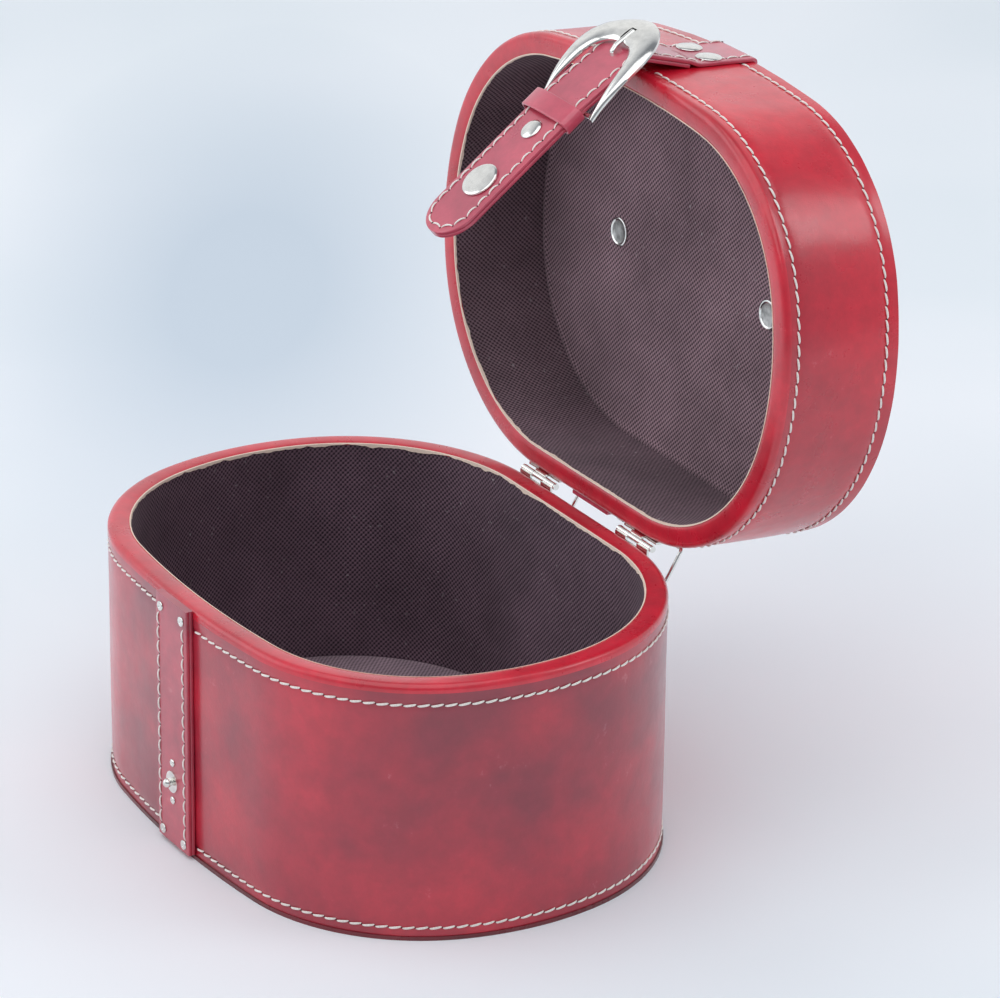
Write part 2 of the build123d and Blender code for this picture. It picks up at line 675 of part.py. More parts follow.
TAB_LOW = LID_RIM + 1.6  # the strap comes over the lid and ends here, round the wire
TUNNEL_HALF = 1.4
TUNNEL_DEPTH = 3.4
with BuildPart() as stay_tab:
    with BuildSketch(Plane.YZ):
        with BuildLine():
            Polyline(
                (BACK_FACE, TAB_LOW),
                (BACK_FACE, STAY_TOP[1] - TUNNEL_HALF - 0.6),
                (BACK_FACE + TUNNEL_DEPTH, STAY_TOP[1] - TUNNEL_HALF + 0.2),
                (BACK_FACE + TUNNEL_DEPTH, STAY_TOP[1] + TUNNEL_HALF - 0.2),
                (BACK_FACE, STAY_TOP[1] + TUNNEL_HALF + 2.4),
                *over_edge(BACK_FACE, 1),
                (BACK_FACE + STRAP_LAYER, STAY_TOP[1] + TUNNEL_HALF + 3.0),
                (BACK_FACE + TUNNEL_DEPTH + STRAP_LAYER, STAY_TOP[1] + TUNNEL_HALF + 0.6),
                (BACK_FACE + TUNNEL_DEPTH + STRAP_LAYER, STAY_TOP[1] - TUNNEL_HALF - 0.4),
                (BACK_FACE + STRAP_LAYER, STAY_TOP[1] - TUNNEL_HALF - 1.6),
                (BACK_FACE + STRAP_LAYER, TAB_LOW),
                close=True,
            )
        make_face()
    extrude(amount=STRAP_HALF, both=True)
save(stay_tab, "stay_tab", OPEN)

TAB_NAIL_HEIGHTS = (TAB_LOW + 3.2, LID_RIM + 22.0)
TAB_NAIL_SPOTS = [(x, BACK_FACE + STRAP_LAYER, z) for x in (-9.4, 9.4) for z in TAB_NAIL_HEIGHTS]
save(heads(TAB_NAIL_SPOTS, (0, 1, 0), radius=1.5, height=0.6, rounding=0.4), "stay_tab_nails", OPEN)

# Two staples on the base's back; the wire's bottom bar rides up and down in them.
GUIDE_SPOTS = (-10.0, 12.0)
GUIDE_HALF = 2.4
GUIDE_DEPTH = 4.7  # room inside a staple, off the back
GUIDE_PLATE = 1.1
GUIDE_Z = (HINGE_Z - 23.0, HINGE_Z - 11.0)
GUIDE_FEET = (6.5, 6.0)  # how far the feet reach below and above the room

with BuildPart() as stay_guides:
    for x in GUIDE_SPOTS:
        span = (x - GUIDE_HALF, x + GUIDE_HALF)
        outer = BACK_FACE + GUIDE_DEPTH + GUIDE_PLATE
        foot = (BACK_FACE, BACK_FACE + GUIDE_PLATE)
        block(span, (BACK_FACE, outer), (GUIDE_Z[0] - GUIDE_PLATE, GUIDE_Z[1] + GUIDE_PLATE))
        block(span, (BACK_FACE - 1, BACK_FACE + GUIDE_DEPTH), GUIDE_Z, Mode.SUBTRACT)
        block(span, foot, (GUIDE_Z[0] - GUIDE_FEET[0], GUIDE_Z[0] - GUIDE_PLATE))
        block(span, foot, (GUIDE_Z[1] + GUIDE_PLATE, GUIDE_Z[1] + GUIDE_FEET[1]))
save(stay_guides, "stay_guides")

GUIDE_NAIL_SPOTS = []
for x in GUIDE_SPOTS:
    for z in (GUIDE_Z[0] - 4.2, GUIDE_Z[1] + 3.9):
        GUIDE_NAIL_SPOTS.append((x, BACK_FACE + GUIDE_PLATE, z))
save(heads(GUIDE_NAIL_SPOTS, (0, 1, 0), radius=1.4, height=0.5, rounding=0.3), "stay_guide_nails")
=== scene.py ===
"""Looks of the oval stationery box: leather, stitching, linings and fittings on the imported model's frame.

Lengths are millimetres until a mesh is made. Pieces of the lid and strap are drawn on the closed box and then
turned about the hinge to the rest pose, as the model is.
"""

import math

import bmesh
import bpy
import numpy as np
from mathutils import Matrix, Vector, noise


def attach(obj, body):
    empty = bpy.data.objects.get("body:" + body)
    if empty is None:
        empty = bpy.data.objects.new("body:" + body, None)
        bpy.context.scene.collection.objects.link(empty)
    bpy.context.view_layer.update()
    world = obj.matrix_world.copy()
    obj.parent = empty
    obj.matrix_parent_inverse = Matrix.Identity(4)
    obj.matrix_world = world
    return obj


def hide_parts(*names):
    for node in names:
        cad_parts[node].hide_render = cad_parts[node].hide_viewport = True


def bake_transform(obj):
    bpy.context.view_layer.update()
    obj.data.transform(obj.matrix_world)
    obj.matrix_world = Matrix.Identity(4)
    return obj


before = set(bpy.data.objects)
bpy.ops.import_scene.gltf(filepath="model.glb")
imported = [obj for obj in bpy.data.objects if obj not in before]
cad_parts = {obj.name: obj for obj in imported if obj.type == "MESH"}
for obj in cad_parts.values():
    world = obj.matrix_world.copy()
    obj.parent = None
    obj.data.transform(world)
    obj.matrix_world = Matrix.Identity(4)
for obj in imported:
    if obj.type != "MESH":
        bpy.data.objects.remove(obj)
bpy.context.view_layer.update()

MM = 0.001

# ---- sizes of the box ----

HALF_LENGTH = 124.4
HALF_WIDTH = 90.0
END_RADIUS = 110.0
FRONT_CORNER_RADIUS = 78.0
FRONT_RADIUS = 460.0
BACK_CORNER_RADIUS = 84.0
BASE_HEIGHT = 105.0
LID_RIM = 105.6
LID_TOP = 157.6
WALL = 8.9
LEATHER = 1.2
RIM_ROUND = 2.4
FLOOR_TOP = 9.6
LID_LINED = LID_RIM + 43.0
HINGE_Y = 92.3
HINGE_Z = 105.3
OPEN_ANGLE = 94.0
PLAN_INSET = 60.0  # a plate keeps the shape of the plan up to this inset

TURN = (
    Matrix.Translation((0, HINGE_Y * MM, HINGE_Z * MM))
    @ Matrix.Rotation(-math.radians(OPEN_ANGLE), 4, "X")
    @ Matrix.Translation((0, -HINGE_Y * MM, -HINGE_Z * MM))
)


# ---- the plan of the box as stations ----


def crossing(first, first_radius, second, second_radius):
    """The right-hand point at the given distances from two plan points."""
    run = math.dist(first, second)
    along = (first_radius**2 - second_radius**2 + run**2) / (2 * run)
    across = math.sqrt(first_radius**2 - along**2)
    ux, uy = (second[0] - first[0]) / run, (second[1] - first[1]) / run
    return max((first[0] + along * ux - s * uy, first[1] + along * uy + s * ux) for s in (across, -across))


def oval_arcs():
    """The whole plan from the front middle, anticlockwise: arcs as (centre x, y, radius, start, end)."""
    end = (HALF_LENGTH - END_RADIUS, 0.0)
    front = (0.0, FRONT_RADIUS - HALF_WIDTH)
    corner = crossing(end, END_RADIUS - FRONT_CORNER_RADIUS, front, FRONT_RADIUS - FRONT_CORNER_RADIUS)
    drop = HALF_WIDTH - BACK_CORNER_RADIUS
    back = (end[0] + math.sqrt((END_RADIUS - BACK_CORNER_RADIUS) ** 2 - drop**2), drop)
    first = math.atan2(corner[1] - front[1], corner[0] - front[0])
    second = math.atan2(corner[1] - end[1], corner[0] - end[0])
    third = math.atan2(back[1] - end[1], back[0] - end[0])
    right = [
        (*front, FRONT_RADIUS, -math.pi / 2, first),
        (*corner, FRONT_CORNER_RADIUS, first, second),
        (*end, END_RADIUS, second, third),
        (*back, BACK_CORNER_RADIUS, third, math.pi / 2),
    ]
    line = [(back[0], HALF_WIDTH, -2 * back[0], None, None)]
    left = [(-x, y, r, math.pi - e, math.pi - s) for x, y, r, s, e in reversed(right)]
    return right + line + left


def oval_stations(count, inset=0.0):
    """Points, normals and arc lengths of evenly spaced stations on the plan at an inset."""
    pieces = oval_arcs()
    lengths = []
    for _, _, radius, start, end in pieces:
        lengths.append(abs(radius) if start is None else (radius - inset) * (end - start))
    ends = np.cumsum(lengths)
    spots = np.arange(count) * ends[-1] / count
    points, normals = [], []
    for spot in spots:
        index = int(np.searchsorted(ends, spot, side="right"))
        into = spot - (ends[index] - lengths[index])
        x, y, radius, start, _ = pieces[index]
        if start is None:
            points.append((x - into, y - inset))
            normals.append((0.0, 1.0))
        else:
            angle = start + into / (radius - inset)
            normals.append((math.cos(angle), math.sin(angle)))
            points.append((x + (radius - inset) * math.cos(angle), y + (radius - inset) * math.sin(angle)))
    return np.array(points), np.array(normals), spots, ends[-1]


# ---- meshes ----


def arc_lengths(points):
    """The distance of each point of a polyline from its start."""
    return np.concatenate([[0], np.cumsum(np.linalg.norm(np.diff(points, axis=0), axis=1))])


def sampled(spots, lengths, values):
    """Rows of values that are known at these lengths, read off at other spots."""
    return np.stack([np.interp(spots, lengths, column) for column in np.asarray(values).T], axis=1)


def stand_for(piece, slot, *nodes):
    """Hides the imported nodes that a piece takes the place of; its material slot is not used."""
    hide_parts(*nodes)


def placed(name, data):
    """A new object in the scene."""
    thing = bpy.data.objects.new(name, data)
    bpy.context.scene.collection.objects.link(thing)
    return thing


def finish_mesh(mesh, material, body, slot=None, nodes=(), sharp=38.0):
    """An object with creased smooth shading and materials, on the body it rides on (none, where it bends).

    Only the base is drawn as it rests. All else is drawn on the closed box and turned open here.
    """
    work = bmesh.new()
    work.from_mesh(mesh)
    bmesh.ops.recalc_face_normals(work, faces=work.faces)
    limit = math.radians(sharp)
    for face in work.faces:
        face.smooth = True
    for edge in work.edges:
        edge.smooth = edge.calc_face_angle(0.0) < limit
    work.to_mesh(mesh)
    work.free()
    if body != "base":
        mesh.transform(TURN)
    for one in material if isinstance(material, list) else [material]:
        mesh.materials.append(one)
    piece = placed(mesh.name, mesh)
    if body:
        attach(piece, body)
    if slot:
        stand_for(piece, slot, *nodes)
    return piece


def grid_mesh(name, points, uv, wrap_rows=False, caps=False):
    """A mesh from a grid of points in millimetres (rows, columns, 3), whose columns always wrap.

    The uv is in metres and has one more column than the points, and one more row where the rows wrap.
    """
    rows, columns = points.shape[:2]
    corners = [
        ((i, j), (i + 1, j), (i + 1, j + 1), (i, j + 1))
        for i in range(rows if wrap_rows else rows - 1)
        for j in range(columns)
    ]
    if caps:
        corners += [[(0, j) for j in range(columns)][::-1], [(rows - 1, j) for j in range(columns)]]
    faces = [[i % rows * columns + j % columns for i, j in face] for face in corners]
    mesh = bpy.data.meshes.new(name)
    mesh.from_pydata((points.reshape(-1, 3) * MM).tolist(), [], faces)
    values = [uv[i][j] for face in corners for i, j in face]
    mesh.uv_layers.new(name="map").data.foreach_set("uv", np.array(values, float).ravel())
    return mesh


def ring_mesh(name, profile, count, ripple):
    """A wall that follows the plan: a closed profile of (inset, height), carried round with a ripple."""
    plan, normals, spots, total = oval_stations(count)
    profile = np.array(profile, float)
    along = arc_lengths(np.vstack([profile, profile[:1]]))
    points = np.zeros((count, len(profile), 3))
    for i in range(count):
        for j, (inset, height) in enumerate(profile):
            at = plan[i] - (inset - ripple(inset, height, plan[i])) * normals[i]
            points[i, j] = (at[0], at[1], height)
    uv = np.zeros((count + 1, len(profile) + 1, 2))
    uv[..., 0] = (np.append(spots, total) * MM)[:, None]
    uv[..., 1] = (along * MM)[None, :]
    return grid_mesh(name, points, uv, wrap_rows=True)


def plate_mesh(name, rings, count, swell):
    """A plate of the plan from rings of (inset, height): outer underside first, then round the edge to the middle.

    Past PLAN_INSET the rings shrink to the middle. All but the first swell by noise of this depth, span and seed.
    """
    depth, span, seed = swell
    plan, normals, _, _ = oval_stations(count)
    points = np.zeros((len(rings), count, 3))
    for row, (inset, height) in enumerate(rings):
        shrink = max(0.0, inset - PLAN_INSET) / (HALF_WIDTH - PLAN_INSET)
        for j in range(count):
            at = (plan[j] - min(inset, PLAN_INSET) * normals[j]) * (1.0 - shrink)
            lift = depth * soft_noise((at[0], at[1], 0.0), span, seed) if row > 0 else 0.0
            points[row, j] = (at[0], at[1], height + lift)
    uv = np.zeros((len(rings), count + 1, 2))
    uv[:, :count] = points[..., :2] * MM
    uv[:, count] = points[:, 0, :2] * MM
    return grid_mesh(name, points, uv, caps=True)


def soft_noise(point, scale, seed=0.0):
    """Smooth noise from -1 to 1 with features about one scale across."""
    return noise.noise(Vector((point[0] / scale, point[1] / scale, point[2] / scale + seed)))


def ribbon_mesh(name, path, normals, side, widths, thick, round_edge, crown=0.0, closed=False):
    """A strip of leather along a path: its side vector, half widths, thickness and rounded edges."""
    path, normals, side = (np.array(given, float) for given in (path, normals, side))
    outline = []  # place across, then how far out and up on the rounded edge, then 1 on the outer face or -1
    for face in (1, -1):
        outline += [(face * a, 0.0, face, face) for a in np.linspace(-1, 1, 9)]
        for near, degrees in ((face, 60), (face, 30), (face, 0), (-face, 0), (-face, -30), (-face, -60)):
            angle = math.radians(degrees)
            outline.append((face, face * math.cos(angle), face * math.sin(angle), near))
    rows = len(path)
    points = np.zeros((rows, len(outline), 3))
    uv = np.zeros((rows + 1, len(outline) + 1, 2))
    along = arc_lengths(path)
    along = np.append(along, along[-1] + along[1])
    for i, half in enumerate(widths):
        bend = min(round_edge, half * 0.6, thick / 2)
        for j, (a, reach, rise, near) in enumerate(outline):
            x = a * (half - bend) + reach * bend
            n = near * (thick / 2 - bend) + rise * bend
            if reach == 0.0 and near > 0:
                n += crown * (1 - a**2)
            points[i, j] = path[i] + side * x + normals[i] * n
            uv[i, j] = (x * MM, along[i] * MM)
        uv[i, -1] = uv[i, 0]
    uv[rows] = uv[0]
    uv[rows, :, 1] = along[-1] * MM
    return grid_mesh(name, points, uv, wrap_rows=closed, caps=not closed)


def button_mesh(name, centre, normal, profile, segments=28):
    """A turned head: a profile of (radius, height) from the edge of its foot to the middle of its top."""
    normal = Vector(normal).normalized()
    first = normal.orthogonal().normalized()
    second = normal.cross(first)
    angles = np.arange(segments) * 2 * math.pi / segments
    circle = np.outer(np.cos(angles), first) + np.outer(np.sin(angles), second)
    points = np.array([np.array(centre) + np.array(normal) * height + circle * radius for radius, height in profile])
    return grid_mesh(name, points, np.zeros((len(profile), segments + 1, 2)), caps=True)


def joined(name, meshes):
    """One mesh from several, which are used up."""
    work = bmesh.new()
    for mesh in meshes:
        work.from_mesh(mesh)
        bpy.data.meshes.remove(mesh)
    mesh = bpy.data.meshes.new(name)
    work.to_mesh(mesh)
    work.free()
    return mesh


def cut_away(mesh, knife):
    """The mesh with the knife's volume taken out; both meshes are used up."""
    name = mesh.name
    blank, tool = placed("blank", mesh), placed("tool", knife)
    cut = blank.modifiers.new("cut", "BOOLEAN")
    cut.operation = "DIFFERENCE"
    cut.solver = "EXACT"
    cut.object = tool
    bpy.context.view_layer.update()
    result = bpy.data.meshes.new_from_object(blank.evaluated_get(bpy.context.evaluated_depsgraph_get()))
    for used in (blank, tool):
        bpy.data.objects.remove(used)
    for used in (mesh, knife):
        bpy.data.meshes.remove(used)
    result.materials.clear()
    result.name = name
    return result


# ---- materials ----


class Nodes:
    """A new material's node tree, or the tree given, with short calls for the nodes used here."""

    SOCKETS = {"colour": "Base Color", "rough": "Roughness", "normal": "Normal", "metal": "Metallic"}
    SOCKETS |= {"coat": "Coat Weight", "coat_rough": "Coat Roughness", "specular": "Specular IOR Level"}
    SOCKETS |= {"sheen": "Sheen Weight", "sheen_rough": "Sheen Roughness"}

    def __init__(self, name, tree=None):
        if tree is None:
            self.material = bpy.data.materials.new(name)
            self.material.use_nodes = True
            tree = self.material.node_tree
            self.shader = tree.nodes["Principled BSDF"]
        self.tree = tree
        self.places = self.node("ShaderNodeTexCoord", {})

    def feed(self, socket, value):
        if isinstance(value, bpy.types.NodeSocket):
            self.tree.links.new(value, socket)
        elif value is not None:
            socket.default_value = (*value, 1.0) if socket.type == "RGBA" and len(value) == 3 else value

    def node(self, kind, inputs, **settings):
        """The outputs of a new node, whose inputs are given by name or number as values or other outputs."""
        node = self.tree.nodes.new(kind)
        for key, value in settings.items():
            setattr(node, key, value)
        for key, value in inputs.items():
            self.feed(node.inputs[key], value)
        return node.outputs

    def mapped(self, vector, inputs, **settings):
        return self.node("ShaderNodeMapping", {"Vector": vector, **inputs}, **settings)[0]

    def noise(self, scale, detail=3.0, rough=0.5, stretch=None, warp=0.0):
        place = self.mapped(self.places["Object"], {"Scale": stretch}) if stretch else self.places["Object"]
        inputs = {"Vector": place, "Scale": scale, "Detail": detail, "Roughness": rough, "Distortion": warp}
        return self.node("ShaderNodeTexNoise", inputs)["Fac"]

    def bands(self, scale, vector, direction):
        inputs = {"Vector": vector, "Scale": scale, "Distortion": 2.5, "Detail": 1.0, "Detail Scale": 0.3}
        return self.node("ShaderNodeTexWave", inputs, bands_direction=direction)["Fac"]

    def ramp(self, value, stops):
        node = self.tree.nodes.new("ShaderNodeValToRGB")
        while len(node.color_ramp.elements) < len(stops):
            node.color_ramp.elements.new(0.5)
        for element, (place, colour) in zip(node.color_ramp.elements, stops):
            element.position = place
            element.color = (*colour, 1.0) if isinstance(colour, tuple) else (colour, colour, colour, 1.0)
        self.feed(node.inputs["Fac"], value)
        return node.outputs["Color"]

    def mix(self, amount, first, second, blend="MIX"):
        inputs = {0: amount, 6: first, 7: second}
        return self.node("ShaderNodeMix", inputs, data_type="RGBA", blend_type=blend)[2]

    def math(self, operation, first, second):
        return self.node("ShaderNodeMath", {0: first, 1: second}, operation=operation)[0]

    def total(self, *parts):
        """The sum of values with their weights."""
        scaled = [self.math("MULTIPLY", value, weight) for value, weight in parts]
        whole = scaled[0]
        for one in scaled[1:]:
            whole = self.math("ADD", whole, one)
        return whole

    def bump(self, height, distance, strength, under=None):
        inputs = {"Strength": strength, "Distance": distance, "Height": height, "Normal": under}
        return self.node("ShaderNodeBump", inputs)["Normal"]

    def set(self, **values):
        for key, value in values.items():
            self.feed(self.shader.inputs[self.SOCKETS[key]], value)
        return self.material


def dimmed(colour, share):
    return tuple(c * share for c in colour)


def leather(name, dark, middle, light, rough=(0.24, 0.38), coat=0.25, mottle=16.0, crease=1.0):
    """Finished cowhide: mottled dye, pores, fine creases and a polished top coat."""
    n = Nodes(name)
    patches = n.noise(mottle, 2.5, 0.5, warp=0.15)
    dye = n.ramp(patches, [(0.34, dark), (0.50, middle), (0.68, light)])
    wear = n.ramp(n.noise(140.0, 5.0, 0.65), [(0.35, 0.86), (0.7, 1.06)])
    colour = n.mix(1.0, dye, wear, "MULTIPLY")
    scuffs = n.ramp(n.noise(70.0, 6.0, 0.75), [(0.64, 0.0), (0.72, 0.16)])
    colour = n.mix(scuffs, colour, (0.80, 0.42, 0.44))
    pores = n.node("ShaderNodeTexVoronoi", {"Vector": n.places["Object"], "Scale": 1500.0})["Distance"]
    wrinkles = n.noise(330.0, 5.0, 0.6, warp=0.2)
    dents = n.noise(34.0, 3.0, 0.5, warp=0.5)
    grain = n.total((pores, 0.35), (wrinkles, 0.65))
    normal = n.bump(dents, 0.0007 * crease, 0.8)
    normal = n.bump(grain, 0.00012, 0.55, normal)
    polish = n.ramp(n.noise(60.0, 4.0, 0.6), [(0.3, rough[0]), (0.75, rough[1])])
    n.shader.inputs["Coat IOR"].default_value = 1.6
    return n.set(colour=colour, rough=polish, normal=normal, coat=coat, coat_rough=0.2, specular=0.55)


BAND_WIDTH = 0.314  # of a wave texture at scale 1
THREAD_PITCH = 1.5 * MM


def cloth(name, dark, light, fuzz=1.0):
    """Bias-cut book cloth: threads across both diagonals, slubs and lint."""
    n = Nodes(name)
    bias = n.mapped(n.places["UV"], {"Rotation": (0.0, 0.0, math.radians(45.0))})
    warp, weft = (n.bands(BAND_WIDTH / THREAD_PITCH, bias, way) for way in "YX")
    height = n.total((warp, 0.5), (weft, 0.38), (n.noise(900.0, 3.0, 0.6), 0.22))
    tone = n.ramp(height, [(0.30, dark), (0.74, light)])
    fade = n.ramp(n.noise(22.0, 4.0, 0.65), [(0.3, 0.72), (0.7, 1.22)])
    colour = n.mix(1.0, tone, fade, "MULTIPLY")
    lint = n.ramp(n.noise(520.0, 2.0, 0.5), [(0.68, 0.0), (0.76, 1.0)])
    gather = n.ramp(n.noise(26.0, 2.0, 0.5), [(0.42, 0.15), (0.66, 1.0)])
    lint = n.math("MULTIPLY", lint, gather)
    colour = n.mix(n.math("MULTIPLY", lint, 0.35 * fuzz), colour, (0.62, 0.58, 0.58))
    normal = n.bump(height, 0.00022, 0.9)
    return n.set(colour=colour, rough=0.92, normal=normal, sheen=0.08, sheen_rough=0.5, specular=0.2)


def nickel(name, tone=(0.90, 0.89, 0.85), rough=(0.10, 0.24), worn=0.84):
    """Plated metal with smudges and fine scratches."""
    n = Nodes(name)
    smudge = n.noise(90.0, 4.0, 0.6)
    polish = n.ramp(smudge, [(0.35, rough[0]), (0.75, rough[1])])
    scratch = n.noise(900.0, 2.0, 0.5, stretch=(1.0, 0.12, 1.0))
    shade = n.ramp(n.noise(240.0, 4.0, 0.6), [(0.3, dimmed(tone, worn)), (0.6, tone)])
    return n.set(colour=shade, rough=polish, metal=1.0, normal=n.bump(scratch, 0.00001, 0.2))


def thread_material(name, colour):
    """Waxed linen thread, with its twist."""
    n = Nodes(name)
    twist = n.noise(2200.0, 2.0, 0.5, stretch=(1.0, 1.0, 0.4))
    tone = n.ramp(twist, [(0.3, dimmed(colour, 0.8)), (0.6, colour)])
    return n.set(colour=tone, rough=0.62, normal=n.bump(twist, 0.00010, 0.7), specular=0.35)


def plain(name, colour, rough=0.8, grain=300.0, low=0.7):
    """A dull raw surface with a little grain."""
    n = Nodes(name)
    speck = n.noise(grain, 4.0, 0.6)
    tone = n.ramp(speck, [(0.3, dimmed(colour, low)), (0.7, colour)])
    return n.set(colour=tone, rough=rough, normal=n.bump(speck, 0.0003, 0.6))


# The base's, the rim's and the lid's leathers are one red hide: the rim's and the lid's copies are painted brighter as
# lit, where they face the light, and the base wall's copy darker as shaded.
BASE_LEATHER = leather(
    "base_leather", (0.29, 0.012, 0.034), (0.45, 0.012, 0.036), (0.60, 0.015, 0.040), (0.28, 0.40), 0.65, 22.0, 0.5
)
LIT_RIM_LEATHER = leather(
    "lit_rim_leather", (0.56, 0.014, 0.032), (0.68, 0.014, 0.036), (0.76, 0.018, 0.044), (0.24, 0.38), 0.45, 30.0
)
LIT_LID_LEATHER = leather(
    "lid_leather", (0.53, 0.010, 0.030), (0.67, 0.010, 0.032), (0.80, 0.012, 0.036), (0.24, 0.38), 0.6, 13.0
)
STRAP_LEATHER = leather(
    "strap_leather", (0.52, 0.052, 0.10), (0.60, 0.064, 0.115), (0.68, 0.078, 0.13), (0.26, 0.4), 0.8, 34.0, 0.5
)
STRIP_LEATHER = leather(
    "strip_leather", (0.40, 0.032, 0.062), (0.50, 0.040, 0.076), (0.58, 0.05, 0.088), (0.3, 0.45), 0.7, 40.0, 0.5
)
BOTTOM_LEATHER = leather("bottom_leather", (0.10, 0.010, 0.014), (0.17, 0.012, 0.02), (0.24, 0.016, 0.028))
# One lining cloth in three copies: the base's is painted darker as shade in the box's hollow, the lid's wall lining
# darker as shade cast by the lid's upper wall, and the lid's panel lighter as the lit copy.
SHADED_LINING = cloth("shaded_lining_cloth", (0.036, 0.021, 0.032), (0.24, 0.15, 0.19), fuzz=1.6)
LIT_LID_LINING = cloth("lit_lid_lining_cloth", (0.060, 0.033, 0.042), (0.38, 0.25, 0.285), fuzz=1.4)
SHADED_LID_WALL_LINING = cloth("shaded_lid_wall_cloth", (0.046, 0.026, 0.034), (0.27, 0.175, 0.205), fuzz=1.4)
FLOOR_CLOTH = cloth("floor_cloth", (0.18, 0.12, 0.145), (0.46, 0.33, 0.38))
NICKEL = nickel("nickel", (0.88, 0.87, 0.83))
DULL_NICKEL = nickel("dull_nickel", (0.62, 0.62, 0.60), (0.4, 0.65), 0.35)
THREAD = thread_material("thread", (0.98, 0.92, 0.86))
# The needle holes' dark plugs: their colour is painted shade inside the holes.
NEEDLE_HOLE_SHADE = plain("needle_hole_shade", (0.10, 0.012, 0.018))
RAW_EDGE = plain("raw_edge", (1.0, 0.80, 0.66), 0.85, 900.0, 0.92)
BOARD = plain("board", (0.42, 0.33, 0.23), 0.9)

CAD_FINISH = {"base_bottom_cover": BOTTOM_LEATHER}
CAD_FINISH |= dict.fromkeys(("base_bottom_board", "base_wall_board", "lid_wall_board", "lid_top_board"), BOARD)
METAL_NODES = ("hinge_base_leaves", "hinge_lid_leaves", "hinge_pins", "hinge_base_nails", "hinge_lid_nails")
METAL_NODES += ("stay_guides", "stay_guide_nails", "stay_wire", "snap_stud", "snap_socket")
METAL_NODES += ("buckle_bar", "buckle_prong")
CAD_FINISH |= dict.fromkeys(METAL_NODES, NICKEL)
for node, finish in CAD_FINISH.items():
    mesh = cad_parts[node].data
    mesh.materials.clear()
    mesh.materials.append(finish)

# ---- leather skins ----

BASE_ROWS = (BASE_HEIGHT - 8.2, 5.0)  # heights of the stitch rows
LID_ROWS = (LID_RIM + 6.3, LID_TOP - 5.6)
GROOVE_DEPTH, GROOVE_WIDTH = 0.35, 1.5
OUTSIDE = 0.6  # a wall's outer face is at less than this inset
INSIDE = 8.5  # and its lined face at more than this one
RIM_SECTION = ((3.4, -0.02), (4.6, 0.0), (6.0, 0.08), (7.2, 0.24), (8.2, 0.5), (8.8, 0.8), (9.0, 1.05))
RIM_PAINT = 3.4  # how far the rim's copy of the leather, painted brighter as lit, comes down the wall
RING = 300


def waves(layers, height, at):
    """Soft waves: the sum of layers of noise of a depth, a span and a seed."""
    return sum(depth * soft_noise((at[0], at[1], height), span, seed) for depth, span, seed in layers)


def skin_ripple(layers, rows):
    """A skin's outer face in soft waves, drawn in at its stitch rows."""

    def shift(inset, height, at):
        if inset > OUTSIDE:
            return 0.0
        drawn = sum(GROOVE_DEPTH * math.exp(-(((height - row) / GROOVE_WIDTH) ** 2)) for row in rows)
        return waves(layers, height, at) - drawn

    return shift


def wall_heights(low, high, rows):
    """Heights up a wall, closer together at its stitch rows."""
    heights = list(np.arange(low, high, 5.0)) + [high]
    for row in rows:
        heights += [row + step for step in (-3.0, -1.5, -0.75, 0.0, 0.75, 1.5, 3.0)]
    return sorted({round(h, 2) for h in heights if low <= h <= high})


def skin_profile(low, high, rows):
    """A skin's section, rim up: up the outside, over the rounded rim to the lining, and back."""
    outside = [(0.0, h) for h in wall_heights(low, high - RIM_ROUND, rows)]
    for angle in np.linspace(0, math.pi / 2, 6)[1:]:
        outside.append((RIM_ROUND * (1 - math.cos(angle)), high - RIM_ROUND + RIM_ROUND * math.sin(angle)))
    outside += [(inset, high - drop) for inset, drop in RIM_SECTION]
    return outside + [(8.9, high - LEATHER), (LEATHER, high - LEATHER), (LEATHER, low)]


def leather_skin(body, node, wall, profile, layers, rows, rim, up):
    """A wall's leather, with the rim's copy of it, painted brighter as lit, on the faces past a height."""
    mesh = ring_mesh(body + "_leather_skin", profile, RING, skin_ripple(layers, rows))
    for face in mesh.polygons:
        face.material_index = int((face.center.z / MM - rim) * up > -RIM_PAINT)
    finish_mesh(mesh, [wall, LIT_RIM_LEATHER], body, body + "_leather", (node,))


BASE_WAVES = ((0.22, 46.0, 0.0), (0.06, 11.0, 5.0))
LID_WAVES = ((0.30, 38.0, 9.0), (0.10, 9.0, 2.0))
BAND_TOP = LID_TOP - 0.3
base_profile = skin_profile(1.6, BASE_HEIGHT, BASE_ROWS)
lid_profile = skin_profile(LID_RIM, BAND_TOP, [LID_RIM + LID_TOP - row for row in LID_ROWS])
lid_profile = [(inset, LID_RIM + BAND_TOP - height) for inset, height in lid_profile]  # its rim is below
leather_skin("base", "base_leather", BASE_LEATHER, base_profile, BASE_WAVES, BASE_ROWS, BASE_HEIGHT, 1)
leather_skin("lid", "lid_leather_band", LIT_LID_LEATHER, lid_profile, LID_WAVES, LID_ROWS, LID_RIM, -1)

top_rings = [(1.0, LID_TOP - LEATHER), (0.3, LID_TOP - LEATHER), (0.05, LID_TOP - 0.75), (0.35, LID_TOP - 0.2)]
top_rings += [(inset, LID_TOP) for inset in (1.0, 4, 5.6, 7, 12, 20, 30, 40, 50, 60, 70, 80, 88)]
lid_top = plate_mesh("lid_top_skin", top_rings, 220, (0.10, 40.0, 3.0))
finish_mesh(lid_top, LIT_LID_LEATHER, "lid", "lid_leather", ("lid_top_leather",))

# ---- linings ----

LINING_BACK = 7.8
PANEL_INSETS = (14, 20, 28, 36, 44, 52, 60, 68, 76, 84, 88)
CUSHION = (0.25, 55.0, 8.0)


def lining_ripple(inset, height, at):
    return waves(((0.16, 30.0, 4.0), (0.05, 7.0, 1.0)), height, at) if inset >= INSIDE else 0.0


